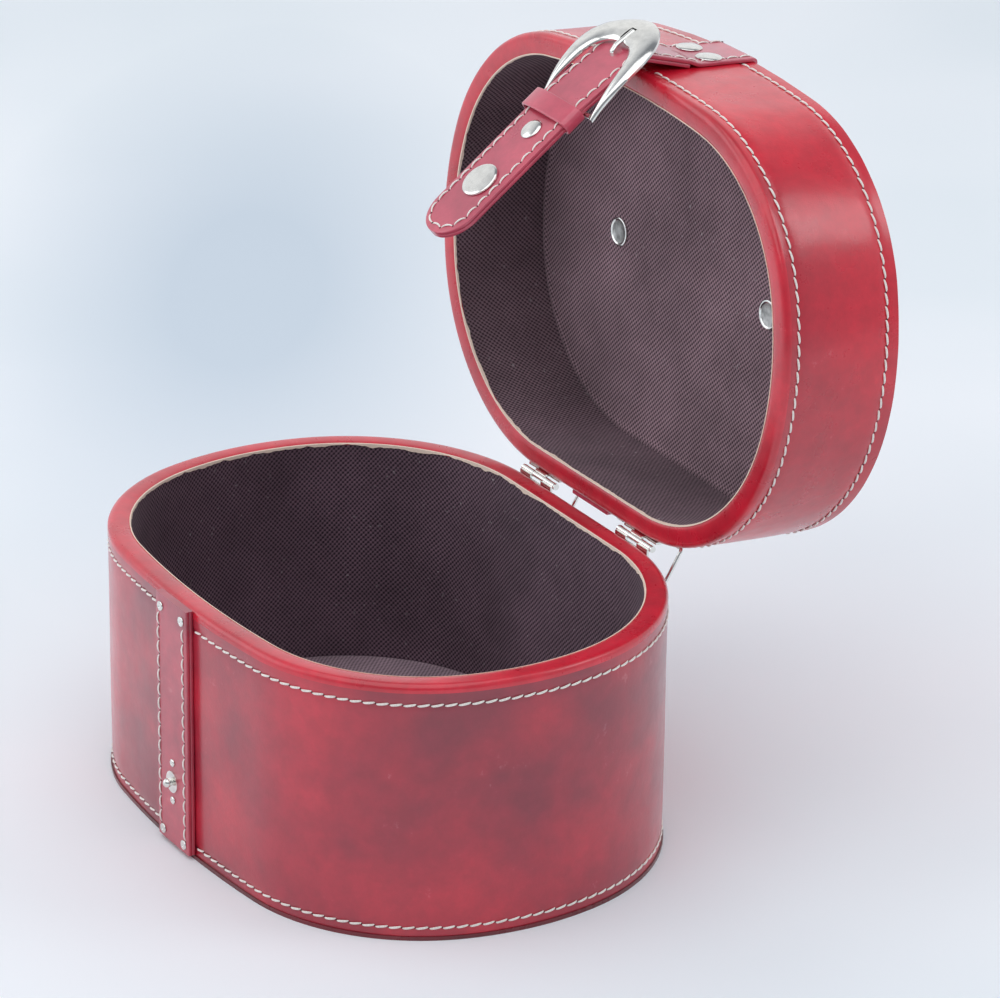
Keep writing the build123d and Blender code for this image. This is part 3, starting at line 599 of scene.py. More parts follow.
for name, low, high, material, body in (
    ("base_lining", FLOOR_TOP - 4.0, BASE_HEIGHT - LEATHER, SHADED_LINING, "base"),
    ("lid_lining", LID_RIM + LEATHER, LID_LINED, SHADED_LID_WALL_LINING, "lid"),
):
    profile = [(WALL, h) for h in (*np.arange(low, high, 4.0), high)] + [(LINING_BACK, high), (LINING_BACK, low)]
    finish_mesh(ring_mesh(name, profile, 240, lining_ripple), material, body, "lining", (body + "_wall_lining",))

floor_rings = [(WALL, FLOOR_TOP - 4.0), (WALL, FLOOR_TOP - 0.9), (WALL + 0.5, FLOOR_TOP - 0.2)]
floor_rings += [(inset, FLOOR_TOP) for inset in (WALL + 1.6, *PANEL_INSETS)]
floor_pad = plate_mesh("floor_pad", floor_rings, 200, CUSHION)
finish_mesh(floor_pad, FLOOR_CLOTH, "base", "floor_lining", ("base_floor_lining",))

panel_rings = [(LINING_BACK, LID_LINED + LEATHER), (LINING_BACK, LID_LINED + 0.3), (WALL + 0.4, LID_LINED - 0.15)]
panel_rings += [(WALL + 1.4, LID_LINED - 0.5), (WALL + 2.6, LID_LINED - 0.55), (WALL + 3.2, LID_LINED - 0.15)]
panel_rings += [(inset, LID_LINED - 0.05) for inset in PANEL_INSETS]
lid_panel = plate_mesh("lid_panel", panel_rings, 220, CUSHION)
finish_mesh(lid_panel, LIT_LID_LINING, "lid", "lining", ("lid_top_lining",))


def raw_edge(name, level, into, body, count=420):
    """The ragged cut edge of the leather that is turned over a rim, lying on the lining just inside it."""
    plan, normals, spots, total = oval_stations(count)
    points = np.zeros((count, 4, 3))
    for i, spot in enumerate(spots):
        rag = 0.75 + 0.6 * soft_noise((spot, 0, 0), 3.7, 2.0) + 0.9 * soft_noise((spot, 0, 0), 17.0, 6.0)
        ragged = level - into * max(0.2, rag)
        for j, (inset, height) in enumerate(((8.5, level), (9.0, level - into * 0.1), (9.2, ragged), (8.6, ragged))):
            points[i, j] = (*(plan[i] - inset * normals[i]), height)
    uv = np.zeros((count + 1, 5, 2))
    uv[..., 0] = (np.append(spots, total) * MM)[:, None]
    finish_mesh(grid_mesh(name, points, uv, wrap_rows=True), RAW_EDGE, body)


raw_edge("base_raw_edge", BASE_HEIGHT - 0.35, 1.5, "base")
raw_edge("lid_raw_edge", LID_RIM + 0.35, -1.1, "lid")

# ---- stitches ----

PITCH = 6.0  # strap, strip and handle
WALL_PITCH = 5.1
WALL_SINK = 0.25  # how far the walls' stitches lie in
RINGS, SIDES = 7, 6  # of one thread
CIRCLE = [(math.cos(a), math.sin(a)) for a in np.arange(SIDES) * 2 * math.pi / SIDES]


def tube_faces(base, rings):
    """Faces of a closed tube of rings of points, numbered from a base."""
    faces = []
    for first in range(base, base + (rings - 1) * SIDES, SIDES):
        for s in range(SIDES):
            after = (s + 1) % SIDES
            faces.append((first + s, first + after, first + SIDES + after, first + SIDES + s))
    faces.append(tuple(range(base, base + SIDES))[::-1])
    faces.append(tuple(range(base + (rings - 1) * SIDES, base + rings * SIDES)))
    return faces


def stitch_rows(name, rows, body, pitch=PITCH, slant=2.0, radius=0.42, bulge=0.7, hole=0.5):
    """Saddle stitches: rows of (points, tangents, normals); each thread dips into a needle hole at both ends, drawn as
    a dark plug of painted shade.
    """
    verts = []
    tilt, half = math.radians(slant), pitch * 0.488
    for points, tangents, normals in rows:
        for point, tangent, normal in zip(points, np.array(tangents, float), np.array(normals, float)):
            across = np.cross(normal, tangent)
            run = tangent * math.cos(tilt) + across * math.sin(tilt)
            away = np.cross(normal, run)
            if away[0] > 0:
                away = -away  # a slack thread always hangs to the same side
            for along in np.linspace(-1, 1, RINGS):
                arch = 1 - along**2
                centre = point + run * (half * along) + away * (bulge * arch) + normal * (0.62 * arch**0.5 - 0.30)
                size = radius * (0.45 + 0.55 * arch**0.5)
                verts += [centre + away * (size * c) + normal * (0.8 * size * s) for c, s in CIRCLE]
            spot = point - tangent * (pitch * 0.5)
            for lift in (-0.3, 0.06):
                verts += [spot + tangent * (0.8 * hole * c) + across * (hole * s) + normal * lift for c, s in CIRCLE]
    faces, kinds = [], []
    for base in range(0, len(verts), (RINGS + 2) * SIDES):
        for kind, more in enumerate((tube_faces(base, RINGS), tube_faces(base + RINGS * SIDES, 2))):
            faces += more
            kinds += [kind] * len(more)
    mesh = bpy.data.meshes.new(name)
    mesh.from_pydata((np.array(verts) * MM).tolist(), [], faces)
    mesh.uv_layers.new(name="map")
    mesh.polygons.foreach_set("material_index", kinds)
    return finish_mesh(mesh, [THREAD, NEEDLE_HOLE_SHADE], body)


def oval_row(height, skip_half):
    """A row of stitches round the plan, left out behind the front strip or strap."""
    _, _, _, total = oval_stations(4)
    plan, normals, _, _ = oval_stations(int(round(total / WALL_PITCH)))
    seen = [(at, out) for at, out in zip(plan, normals) if at[1] >= 0 or abs(at[0]) >= skip_half]
    points = [np.array((*(at - out * WALL_SINK), height)) for at, out in seen]
    return points, [(-out[1], out[0], 0.0) for _, out in seen], [(out[0], out[1], 0.0) for _, out in seen]


for body, heights, skip in (("base", BASE_ROWS, 15.0), ("lid", LID_ROWS, 14.5)):
    rows = [oval_row(height, skip) for height in heights]
    stitch_rows(body + "_stitches", rows, body, WALL_PITCH, slant=9.0, radius=0.5, bulge=0.0, hole=0.4)

# ---- the strap ----

STRAP_HALF = 13.2
STRAP_LAYER = 1.6
STRAP_THICK = STRAP_LAYER - 0.03  # two layers never touch
STRAP_EDGE = 0.45
STRAP_FACE = HALF_WIDTH + STRAP_LAYER  # its outer face on the lid's walls
FOLD = np.array((-96.2, LID_RIM))
MID_LEAN = 36.2
MID_LENGTH = 31.3
END_LEAN = 41.0
END_LENGTH = 72.7
FRAME_LEAN = 41.0
BAR_DEPTH = 2.75
SNAP_ALONG = 45.5
RIVET_ALONG = 17.5
STAY_Z = HINGE_Z + 11.0
STEP = LID_RIM + 22.0  # where the tail leaves the lid's wall
RAMP = 4.5
TAIL_RIVET_Z = LID_RIM + 34.5
SPLIT = 15.0  # below the fold, where the bending leather is cut into two pieces
FOLD_REACH = 8.5  # of the bend on either side of each joint
SWING_REACH = 4.5
EDGE_INSET = 2.7  # of the stitches


def out_of(lean):
    """Outward normal (Y, Z) of a strap that leans in towards the box by this angle."""
    return np.array((-math.cos(math.radians(lean)), -math.sin(math.radians(lean))))


def down_of(lean):
    return np.array((math.sin(math.radians(lean)), -math.cos(math.radians(lean))))


SWING = FOLD + MID_LENGTH * down_of(MID_LEAN)
BAR = SWING - BAR_DEPTH * out_of(MID_LEAN)
END_TIP = SWING + END_LENGTH * down_of(END_LEAN)
END_OUT = (0, *out_of(END_LEAN))


def on_end(along, lift):
    """A point on the strap's end: this far down it and out from its middle."""
    return (0, *(SWING + along * down_of(END_LEAN) + lift * out_of(END_LEAN)))


def mitred(corners, offset):
    """The corners of a polyline moved out by an offset."""
    corners = [np.array(c, float) for c in corners]
    moved = []
    for i, corner in enumerate(corners):
        before = corner - corners[i - 1] if i else corners[1] - corner
        after = corners[i + 1] - corner if i + 1 < len(corners) else before
        one = np.array((before[1], -before[0])) / np.linalg.norm(before)
        two = np.array((after[1], -after[0])) / np.linalg.norm(after)
        middle = (one + two) / np.linalg.norm(one + two)
        moved.append(corner + middle * offset / max(0.3, float(middle @ one)))
    return moved


def rounded(corners, radii, step=0.8):
    """Evenly spaced points along a polyline with rounded corners, and their distances along it."""
    corners = [np.array(c, float) for c in corners]
    points = [corners[0]]
    for before, corner, after, radius in zip(corners, corners[1:], corners[2:], radii):
        into, away = corner - before, after - corner
        into, away = into / np.linalg.norm(into), away / np.linalg.norm(away)
        reach = radius * math.tan(math.acos(max(-1.0, min(1.0, float(into @ away)))) / 2)
        start, end = corner - into * reach, corner + away * reach
        points += [(1 - f) ** 2 * start + 2 * f * (1 - f) * corner + f**2 * end for f in np.linspace(0, 1, 9)]
    points.append(corners[-1])
    lengths = arc_lengths(points)
    spots = np.linspace(0, lengths[-1], max(4, int(lengths[-1] / step)))
    return sampled(spots, lengths, points), spots


def with_tip(points, spots, tip):
    """The points with close stations over the length of a rounded tip, if there is one."""
    total = spots[-1]
    places = [s for s in spots if s < total - tip]
    places += list(total - tip * (1 - np.cos(np.linspace(0.06, math.pi / 2, 16)))) if tip else [total]
    places = np.array(sorted({round(float(s), 4) for s in places}))
    return sampled(places, spots, points), places


def in_space(flat):
    """(Y, Z) points in the strap's plane as (X, Y, Z) points."""
    return np.column_stack([np.zeros(len(flat)), flat])


def outward(flat):
    """Outward normals (X, Y, Z) of a (Y, Z) path that runs down the strap."""
    run = np.gradient(flat, axis=0)
    run /= np.linalg.norm(run, axis=1)[:, None]
    return np.column_stack([np.zeros(len(flat)), run[:, 1], -run[:, 0]])


def half_width(s, total, tipped, inset=0.0):
    """Half the strap's width at a distance along it, or of a line inset from its edges; a tip is half a circle."""
    reach = STRAP_HALF - inset
    past = s - (total - STRAP_HALF) if tipped else 0.0
    return reach if past <= 0 else math.sqrt(max(0.05, reach**2 - past**2))


def edge_rows(flat, spots, outs, tipped=False):
    """Stitch rows along both edges of a strap, and round its tip, on its outer face."""
    half = [half_width(s, spots[-1], tipped, EDGE_INSET) for s in spots]
    order = [i for i in range(len(spots)) if half[i] > 0.3]
    right = [(half[i], i) for i in order]
    left = [(-half[i], i) for i in order][::-1]
    rows = []
    for run in [right + left] if tipped else [right, left]:
        directions = np.array([outs[i] for _, i in run])
        places = np.array([(x, *flat[i]) for x, i in run]) + directions * STRAP_LAYER / 2
        lengths = arc_lengths(places)
        count = max(2, int(round(lengths[-1] / PITCH)))
        middles = (np.arange(count) + 0.5) * lengths[-1] / count
        at, out = sampled(middles, lengths, places), sampled(middles, lengths, directions)
        heading = sampled(middles + 0.5, lengths, places) - sampled(middles - 0.5, lengths, places)
        heading /= np.linalg.norm(heading, axis=1)[:, None]
        before, after = (sampled(middles + away, lengths, directions) for away in (-3.2, 3.2))
        lies_flat = np.sum(before * after, axis=1) > 0.85
        rows.append((at[lies_flat], heading[lies_flat], out[lies_flat]))
    return rows


def bend_strap(piece, first, second, low, high):
    """Bakes a piece's placing into its mesh; the joint between two points (Y, Z) of the closed box is not used."""
    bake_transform(piece)


def strap_mesh(name, flat, outs, widths):
    return ribbon_mesh(name, in_space(flat), outs, (1, 0, 0), widths, STRAP_THICK, STRAP_EDGE)


def snap_bore():
    """The hole through the strap's end that the stud's ball enters."""
    return button_mesh("bore", on_end(SNAP_ALONG, -2.6), END_OUT, [(2.25, 0.0), (2.25, 5.2)], 24)


def strap_layer(name, corners, radii, joint, tipped, stitched, nodes):
    """One bending layer of the strap, with its stitches where it is the outer one."""
    flat, spots = with_tip(*rounded(corners, radii), STRAP_HALF if tipped else 0.0)
    outs = outward(flat)
    mesh = strap_mesh(name, flat, outs, [half_width(s, spots[-1], tipped) for s in spots])
    piece = finish_mesh(cut_away(mesh, snap_bore()) if tipped else mesh, STRAP_LEATHER, None)
    bend_strap(piece, *joint)
    stand_for(piece, "strap_leather", *nodes)
    if stitched:
        bend_strap(stitch_rows(name + "_stitches", edge_rows(flat, spots, outs, tipped), None), *joint)


tail_top = np.array((-STRAP_FACE, STEP))
up_tail = (tail_top - FOLD) / np.linalg.norm(tail_top - FOLD)
FOLD_JOINT = ("lid", "buckle", FOLD + FOLD_REACH * up_tail, FOLD + FOLD_REACH * down_of(MID_LEAN))
SWING_JOINT = ("buckle", "strap_end", SWING - SWING_REACH * down_of(MID_LEAN), SWING + SWING_REACH * down_of(END_LEAN))

on_wall = HALF_WIDTH + STRAP_LAYER / 2
split_point = FOLD + SPLIT * down_of(MID_LEAN)
centre_line = [tail_top, FOLD, split_point]
outer_line = [(-on_wall, TAIL_RIVET_Z), (-on_wall, STEP + RAMP)] + mitred(centre_line, STRAP_LAYER / 2)
inner_line = mitred(centre_line, -STRAP_LAYER / 2)
end_line = [split_point, SWING, END_TIP]
lower_outer, lower_inner = (mitred(end_line, side * STRAP_LAYER / 2) for side in (1, -1))
for layer in (
    ("strap_upper", outer_line, (9, 9, 9.6), FOLD_JOINT, False, True, ("strap_tail", "strap_mid")),
    ("strap_upper_backing", inner_line, (8,), FOLD_JOINT, False, False, ("strap_tail_backing", "strap_mid_backing")),
    ("strap_lower", lower_outer, (50,), SWING_JOINT, True, True, ("strap_end",)),
    ("strap_lower_backing", lower_inner, (50,), SWING_JOINT, True, False, ("strap_end_backing",)),
):
    strap_layer(*layer)


def strap_over_lid():
    """The strap's run up the front, across the top and down the back, round the wire."""
    line = [(-on_wall, TAIL_RIVET_Z), (-on_wall, LID_TOP + STRAP_LAYER / 2), (on_wall, LID_TOP + STRAP_LAYER / 2)]
    line += [(on_wall, STAY_Z + 5.4), (on_wall + 3.4, STAY_Z + 1.2), (on_wall + 3.4, STAY_Z - 1.2)]
    line += [(on_wall, STAY_Z - 2.6), (on_wall, LID_RIM + 1.6)]
    flat, spots = rounded(line, (1.4, 1.4, 3.0, 1.5, 1.5, 1.2), 0.5)
    outs = -outward(flat)
    widths = [STRAP_HALF + 0.12 * soft_noise((s, 0, 0), 18.0) - 0.1 for s in spots]
    mesh = strap_mesh("strap_over_lid", flat, outs, widths)
    finish_mesh(mesh, STRAP_LEATHER, "lid", "strap_leather", ("strap_crown", "stay_tab"))
    stitch_rows("strap_over_stitches", edge_rows(flat, spots, outs), "lid")


strap_over_lid()

# ---- the keeper, handle and front strip ----


def closed_loop(half_x, half_n, corner):
    """A rounded rectangle as points and outward normals, with close points on its long sides."""
    points, outs = [], []
    for sx, sn, start in ((1, 1, 0), (-1, 1, 90), (-1, -1, 180), (1, -1, 270)):
        middle = np.array((sx * (half_x - corner), sn * (half_n - corner)))
        for angle in np.radians(start + 15.0 * np.arange(7)):
            outs.append(np.array((math.cos(angle), math.sin(angle))))
            points.append(middle + corner * outs[-1])
        if sx == sn:
            points += [np.array((middle[0] * (1 - 2 * f), sn * half_n)) for f in np.linspace(0.1, 0.9, 9)]
            outs += [outs[-1]] * 9
    return points, outs


def keeper():
    """The loose loop round the strap's end, a little askew and with a slack outer side."""
    half, shift, middle = 15.1, -0.6, (1.6 + 10.6) / 2  # half its width, its shift sideways, its place down the end
    loop, loop_out = closed_loop(half, 2.7, 2.1)
    path = []
    for x, n in loop:
        slump = (1.3 - 0.06 * x) * (1 - (x / half) ** 2) if n > 0 else 0.0
        path.append((x + shift, *on_end(middle, n + slump)[1:]))
    outs = [(out[0], *(out_of(END_LEAN) * out[1])) for out in loop_out]
    side = (0, *down_of(END_LEAN))
    mesh = ribbon_mesh("keeper", path, outs, side, [4.5] * len(path), 1.2, 0.4, closed=True)
    finish_mesh(mesh, STRAP_LEATHER, "keeper", "strap_leather", ("keeper_loop",))


keeper()

HANDLE_MIDDLE = -2.8
HANDLE_REACH = 54.0  # to its rivets
HANDLE_END = 65.0
HANDLE_SPRING = 45.0  # half the arch's width
HANDLE_RISE = 17.5
HANDLE_THICK = 3.0


def handle():
    """The handle: flat ends and a low arch, eased into each other, with a stitch row near both edges."""
    arch_x = np.linspace(-HANDLE_SPRING, HANDLE_SPRING, 40)
    radius = (HANDLE_SPRING**2 + HANDLE_RISE**2) / (2 * HANDLE_RISE)
    arch_z = HANDLE_RISE + HANDLE_THICK / 2 - radius + np.sqrt(radius**2 - arch_x**2)
    end_x, end_z = np.linspace(HANDLE_SPRING + 2, HANDLE_END, 10), np.full(10, HANDLE_THICK / 2)
    x, z = np.concatenate([-end_x[::-1], arch_x, end_x]), np.concatenate([end_z, arch_z, end_z])
    for _ in range(3):
        z[1:-1] = (z[:-2] + 2 * z[1:-1] + z[2:]) / 4
    path = np.column_stack([x + HANDLE_MIDDLE, np.zeros(60), z + LID_TOP])
    run = np.gradient(path, axis=0)
    run /= np.linalg.norm(run, axis=1)[:, None]
    outs = np.column_stack([-run[:, 2], np.zeros(60), run[:, 0]])
    half = [11.0 * (0.78 + 0.22 * min(1.0, (HANDLE_END - abs(place)) / 6.0)) for place in x]
    mesh = ribbon_mesh("handle_leather", path, outs, (0, 1, 0), half, HANDLE_THICK, 0.9, 0.15)
    finish_mesh(mesh, STRAP_LEATHER, "lid", "strap_leather", ("handle",))
    lengths = arc_lengths(path)
    spots = np.arange(6.0, lengths[-1] - 5.0, PITCH)
    at, out, along = (sampled(spots, lengths, values) for values in (path, outs, run))
    at += out * HANDLE_THICK / 2
    rows = [(at + np.array((0, side * 8.0, 0)), along * side, out) for side in (-1, 1)]
    stitch_rows("handle_stitches", rows, "lid", bulge=0.6)


handle()

STRIP_HALF = 12.5
STRIP_LAYER = 1.5
STRIP_FACE = -HALF_WIDTH - 2 * STRIP_LAYER
STRIP_STITCH = 9.9  # from the strip's middle


def front_strip():
    """The two-layer leather strip down the front of the base, stitched near both edges."""
    heights = np.linspace(1.9, 104.7, 60)
    outs = np.tile((0.0, -1.0, 0.0), (60, 1))
    for index, node in enumerate(("front_strip_backing", "front_strip_face")):
        depth = -HALF_WIDTH - STRIP_LAYER * (index + 0.5)
        path = np.column_stack([np.zeros(60), np.full(60, depth), heights])
        widths = [STRIP_HALF - 0.15 + 0.12 * soft_noise((h, index, 0), 14.0) for h in heights]
        mesh = ribbon_mesh(node + "_leather", path, outs, (1, 0, 0), widths, STRIP_LAYER, 0.4)
        finish_mesh(mesh, STRIP_LEATHER, "base", "strip_leather", (node,))
    spots = np.arange(10.0, 98.0, PITCH)
    rows = []
    for side in (-1, 1):
        at = np.array([(side * STRIP_STITCH, STRIP_FACE, z) for z in spots])
        rows.append((at, [(0, 0, 1.0)] * len(spots), [(0, -1.0, 0)] * len(spots)))
    stitch_rows("strip_stitches", rows, "base")


front_strip()

# ---- heads of rivets, snaps and nails ----

FRONT, BACK, UP, DOWN = (0, -1, 0), (0, 1, 0), (0, 0, 1), (0, 0, -1)
NAIL = [(1.8, 0.0), (2.0, 0.2), (1.9, 0.5), (1.45, 0.74), (0.7, 0.66), (0.5, 0.45), (0.1, 0.42)]
SMALL_NAIL = [(radius * 0.8, height * 0.9) for radius, height in NAIL]
WASHER = [(5.6, 0.0), (6.0, 0.3), (5.9, 0.8), (5.5, 0.95), (5.1, 0.9), (4.7, 0.6), (2.0, 0.62), (0.1, 0.62)]
SNAP_HEIGHT = 28.7


def dome(radius, height, lip=0.35):
    """Profile of a low domed head with a soft lip."""
    profile = [(radius * 0.9, 0.0), (radius, lip * 0.4), (radius, lip)]
    for angle in np.linspace(0.15, 1.0, 7) * math.pi / 2:
        profile.append((radius * 0.985 * math.cos(angle) + 0.02, lip + (height - lip) * math.sin(angle)))
    return profile


def capped(radius, height):
    """Profile of a flat cap with a rolled edge."""
    flat = radius - 1.1
    profile = [(radius - 0.4, 0.0), (radius, 0.35), (radius - 0.1, 0.85), (radius - 0.5, 1.15), (flat, 1.2)]
    return profile + [(flat * 0.7, height - 0.06), (flat * 0.35, height), (0.1, height)]


def heads(name, node, spots, normal, profile, body, worn=None):
    """Turned heads at closed-box points that stand for a node of heads; faces within a radius can be worn."""
    mesh = joined(name, [button_mesh(name, spot, normal, profile) for spot in spots])
    if worn:
        for face in mesh.polygons:
            face.material_index = int(min((face.center / MM - Vector(spot)).length for spot in spots) < worn)
    finish_mesh(mesh, [NICKEL, DULL_NICKEL] if worn else NICKEL, body, "nickel", (node,))


handle_spots = (HANDLE_MIDDLE - HANDLE_REACH, HANDLE_MIDDLE + HANDLE_REACH)
tail_rivets = [(x, -STRAP_FACE, TAIL_RIVET_Z) for x in (-7.0, 7.0)]
handle_rivets = [(x, 0, LID_TOP + HANDLE_THICK) for x in handle_spots]
strip_nails = [(x, STRIP_FACE, z) for z in (5.2, 99.6) for x in (-8.4, 8.4)]
stud_nails = [(0, STRIP_FACE, SNAP_HEIGHT + away) for away in (-8.0, 8.0)]
tab_nails = [(x, STRAP_FACE, LID_RIM + up) for x in (-9.4, 9.4) for up in (4.8, 22.0)]
heads("snap_cap_head", "snap_cap", [on_end(SNAP_ALONG, STRAP_LAYER)], END_OUT, capped(7.85, 1.4), "strap_end")
heads("strap_rivet_head", "strap_small_rivet", [on_end(RIVET_ALONG, STRAP_LAYER)], END_OUT, dome(4.6, 1.2), "strap_end")
heads("tail_rivet_heads", "strap_tail_rivets", tail_rivets, FRONT, dome(5.3, 1.2), "lid")
heads("handle_rivet_heads", "handle_rivets", handle_rivets, UP, dome(5.3, 1.3), "lid")
heads("handle_washer_heads", "handle_washers", [(x, 0, LID_LINED) for x in handle_spots], DOWN, WASHER, "lid", 4.8)
heads("strip_nail_heads", "front_strip_nails", strip_nails, FRONT, NAIL, "base")
heads("stud_nail_heads", "snap_stud_nails", stud_nails, FRONT, SMALL_NAIL, "base")
heads("tab_nail_heads", "stay_tab_nails", tab_nails, BACK, SMALL_NAIL, "lid")

# ---- the buckle's frame ----

BOW_APEX = 46.2
FRAME_CURVE = 65.0
FRAME_SECTIONS = 97
OUTER = [(18.2, -1.2), (19.0, 4), (20.6, 13), (21.3, 23), (20.2, 31), (16.6, 37.8), (10.4, 42.9), (5.0, 45.4)]
INNER = [(16.5, -1.2), (16.2, 4), (15.1, 13), (13.6, 21), (11.0, 27.0), (7.2, 30.4), (3.6, 31.5)]
BOW_INNER = 31.6
BOW_SECTION = [(0.0, -1.0), (0.0, -0.2), (0.05, 0.35), (0.14, 0.72), (0.26, 0.93), (0.38, 1.0), (0.5, 0.94)]
BOW_SECTION += [(0.64, 0.84), (0.8, 0.62), (0.92, 0.3), (1.0, -0.25), (1.0, -1.0), (0.7, -1.0), (0.3, -1.0)]
NOTCH = (3.2, 9.4, 9.0)  # its width, length up the frame, and depth
NOTCH_ALONG, NOTCH_LIFT = 34.6, 2.6  # its middle


def smooth_line(half, apex, count):
    """A smooth curve through the points of a right half, an apex and the mirrored half, as even samples."""
    points = np.array([*half, (0, apex), *((-x, y) for x, y in half[::-1])], float)
    padded = np.vstack([2 * points[0] - points[1], points, 2 * points[-1] - points[-2]])
    dense = []
    for a, b, c, d in zip(padded, padded[1:], padded[2:], padded[3:]):
        for f in np.linspace(0, 1, 24, endpoint=False):
            bend = (2 * a - 5 * b + 4 * c - d) * f**2 + (3 * b - a - 3 * c + d) * f**3
            dense.append(0.5 * (2 * b + (c - a) * f + bend))
    dense.append(points[-1])
    lengths = arc_lengths(dense)
    return sampled(np.linspace(0, lengths[-1], count), lengths, dense)


def buckle_bow():
    """The curved horseshoe frame, its rounded section widest at the bow, with the prong's notch cut in."""
    outer, inner = smooth_line(OUTER, BOW_APEX, FRAME_SECTIONS), smooth_line(INNER, BOW_INNER, FRAME_SECTIONS)
    up, lift = -down_of(FRAME_LEAN), out_of(FRAME_LEAN)
    curve_centre = -math.sqrt(FRAME_CURVE**2 - BOW_APEX**2 / 4)
    points = np.zeros((FRAME_SECTIONS, len(BOW_SECTION), 3))
    for i in range(FRAME_SECTIONS):
        thick = 0.75 + 0.45 * min(1.0, np.linalg.norm(outer[i] - inner[i]) / 6.0)
        for j, (across, level) in enumerate(BOW_SECTION):
            x, s = inner[i] * (1 - across) + outer[i] * across
            rise = curve_centre + math.sqrt(FRAME_CURVE**2 - (s - BOW_APEX / 2) ** 2)
            points[i, j] = (x, *(BAR + up * s + lift * (rise + level * thick)))
    uv = np.zeros((FRAME_SECTIONS, len(BOW_SECTION) + 1, 2))
    bow = grid_mesh("buckle_bow", points, uv, caps=True)
    place = Matrix.Identity(4)
    for column, (axis, size) in enumerate(zip(((1, 0, 0), (0, *up), (0, *lift)), NOTCH)):
        place.col[column] = (*(np.array(axis) * size * MM), 0)
    place.col[3] = (0, *((BAR + up * NOTCH_ALONG + lift * NOTCH_LIFT) * MM), 1)
    notch = bpy.data.meshes.new("notch")
    work = bmesh.new()
    bmesh.ops.create_cube(work, size=1.0, matrix=place)
    work.to_mesh(notch)
    work.free()
    finish_mesh(cut_away(bow, notch), NICKEL, "buckle", "nickel", ("buckle_frame",), 34.0)


buckle_bow()

# ---- floor, light and camera ----


def stage_floor(reach=8.0):
    """A pale cloth-like floor with faint cool blotches of painted soft shade and a soft painted shadow of the lid and
    strap, wide enough to fill the view.
    """
    mesh = bpy.data.meshes.new("floor")
    corners = [(x * reach, y * reach, 0) for x, y in ((-1, -1), (1, -1), (1, 1), (-1, 1))]
    mesh.from_pydata(corners, [], [(0, 1, 2, 3)])
    n = Nodes("floor")
    # Faint cool blotches: painted soft shade.
    pale = n.ramp(n.noise(2.6, 2.0, 0.5), [(0.36, (0.87, 0.92, 0.955)), (0.58, (0.94, 0.97, 1.0))])
    # A soft cool spot of painted shadow, where the lid and strap's shadow falls to the left behind the box.
    painted_shadow_place = {"Location": (-0.53, 0.225, 0.0), "Rotation": (0.0, 0.0, math.radians(148.7)), "Scale": (0.44, 0.15, 1.0)}
    place = n.mapped(n.places["Object"], painted_shadow_place, vector_type="TEXTURE")
    spot = n.node("ShaderNodeTexGradient", {"Vector": place}, gradient_type="SPHERICAL")["Fac"]
    colour = n.mix(n.ramp(spot, [(0.0, 0.0), (0.75, 0.8)]), pale, (0.58, 0.67, 0.76))
    mesh.materials.append(n.set(colour=colour, rough=0.8, specular=0.1))
    placed("floor", mesh)


def area_light(name, place, aim, size, power, colour=(0.96, 0.98, 1.0)):
    data = bpy.data.lights.new(name, "AREA")
    data.shape = "RECTANGLE"
    data.size, data.size_y = size
    data.energy = power
    data.color = colour
    light = placed(name, data)
    light.location = place
    light.rotation_euler = (Vector(aim) - Vector(place)).to_track_quat("-Z", "Y").to_euler()
    return light


stage_floor()
area_light("key", (0.45, -0.55, 2.1), (0, 0, 0.15), (2.8, 2.8), 30.0)
area_light("fill", (-1.2, -1.6, 1.0), (0, 0, 0.1), (2.0, 1.6), 9.0, (0.93, 0.96, 1.0))
area_light("window", (0.8, 1.0, 1.2), (0, 0.1, 0.2), (0.5, 0.6), 2.3, (0.97, 0.98, 1.0))
behind = area_light("back", (-1.3, 1.0, 1.5), (-0.6, 0.5, 0.0), (2.8, 1.8), 5.8)
behind.visible_glossy = False  # it lights the floor behind the box and is not mirrored by the buckle


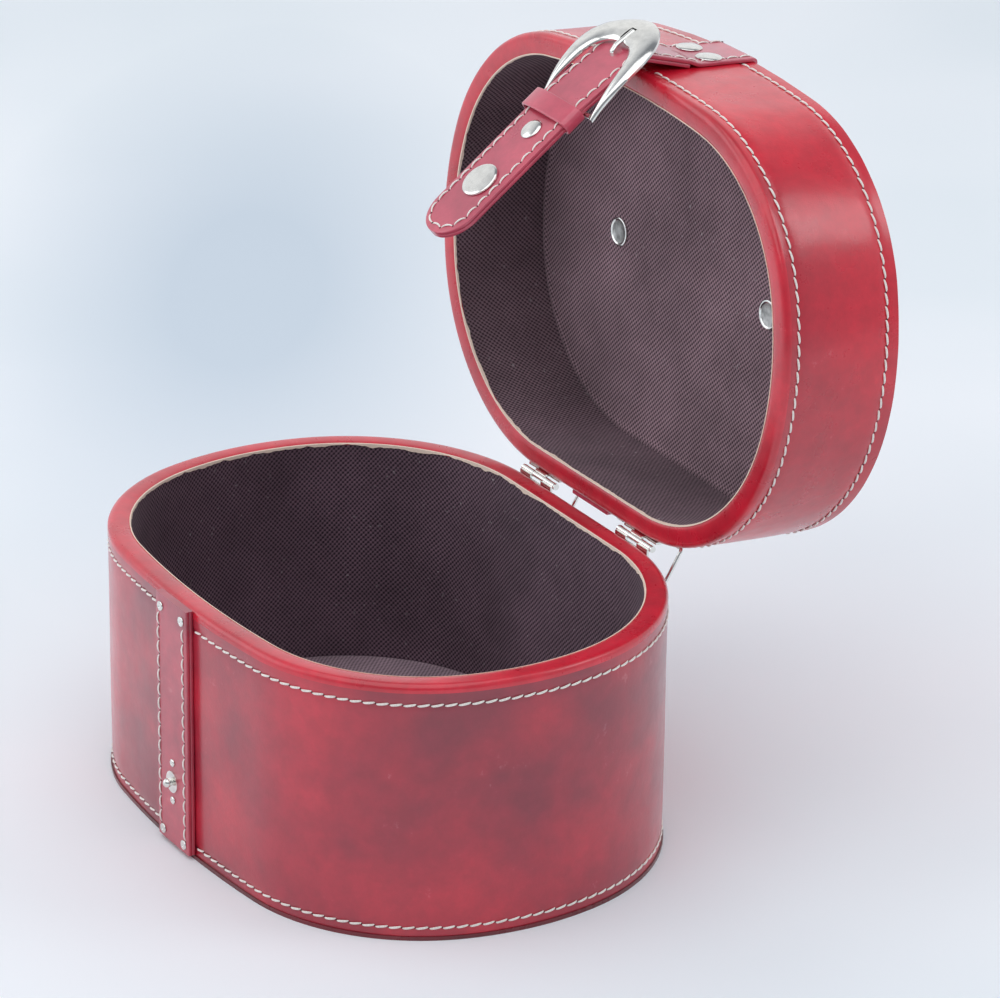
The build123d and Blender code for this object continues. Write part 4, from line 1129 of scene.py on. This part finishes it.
def studio_world():
    """A pale room: bright behind the box up to a third of the way up, dim overhead and behind the camera."""
    world = bpy.data.worlds.new("studio")
    bpy.context.scene.world = world
    world.use_nodes = True
    n = Nodes("studio", world.node_tree)
    place = n.places["Generated"]
    height = n.node("ShaderNodeSeparateXYZ", {0: place})["Z"]
    away = n.node("ShaderNodeVectorMath", {0: place, 1: (-0.43, 0.26, 0.0)}, operation="DOT_PRODUCT")["Value"]
    high = [(0.0, (0.92, 0.95, 1.0)), (0.55, (0.97, 0.985, 1.0))]
    high += [(0.68, (0.74, 0.76, 0.79)), (0.82, (0.26, 0.28, 0.31))]
    side = [(0.0, (0.24, 0.25, 0.27)), (0.5, (0.76, 0.77, 0.80)), (1.0, (1.0, 1.0, 1.0))]
    tones = n.ramp(height, high), n.ramp(n.math("ADD", away, 0.5), side)
    room = world.node_tree.nodes["Background"]
    n.feed(room.inputs["Color"], n.mix(1.0, *tones, "MULTIPLY"))
    room.inputs["Strength"].default_value = 0.95


studio_world()

CAMERA_AZIMUTH = math.radians(58.715)
CAMERA_ELEVATION = math.radians(22.944)
CAMERA_ROLL = math.radians(0.785)
CAMERA_PLACE = (1.5567, -0.8934, 0.8878)
FOCAL_PIXELS = 5046.1
IMAGE_WIDTH = 1000.0
SENSOR_WIDTH = 36.0


def place_camera():
    """The camera, turned to its azimuth and elevation and rolled a little."""
    level = math.cos(CAMERA_ELEVATION)
    back = Vector((math.sin(CAMERA_AZIMUTH) * level, -math.cos(CAMERA_AZIMUTH) * level, math.sin(CAMERA_ELEVATION)))
    right = Vector((0, 0, 1)).cross(back).normalized()
    up = back.cross(right)
    data = bpy.data.cameras.new("camera")
    data.sensor_width = SENSOR_WIDTH
    data.lens = SENSOR_WIDTH * FOCAL_PIXELS / IMAGE_WIDTH
    camera = placed("camera", data)
    upright = Matrix((right, up, back)).transposed().to_4x4()
    camera.matrix_world = Matrix.Translation(CAMERA_PLACE) @ Matrix.Rotation(CAMERA_ROLL, 4, back) @ upright
    bpy.context.scene.camera = camera


place_camera()
bpy.context.scene.view_settings.view_transform = "Standard"
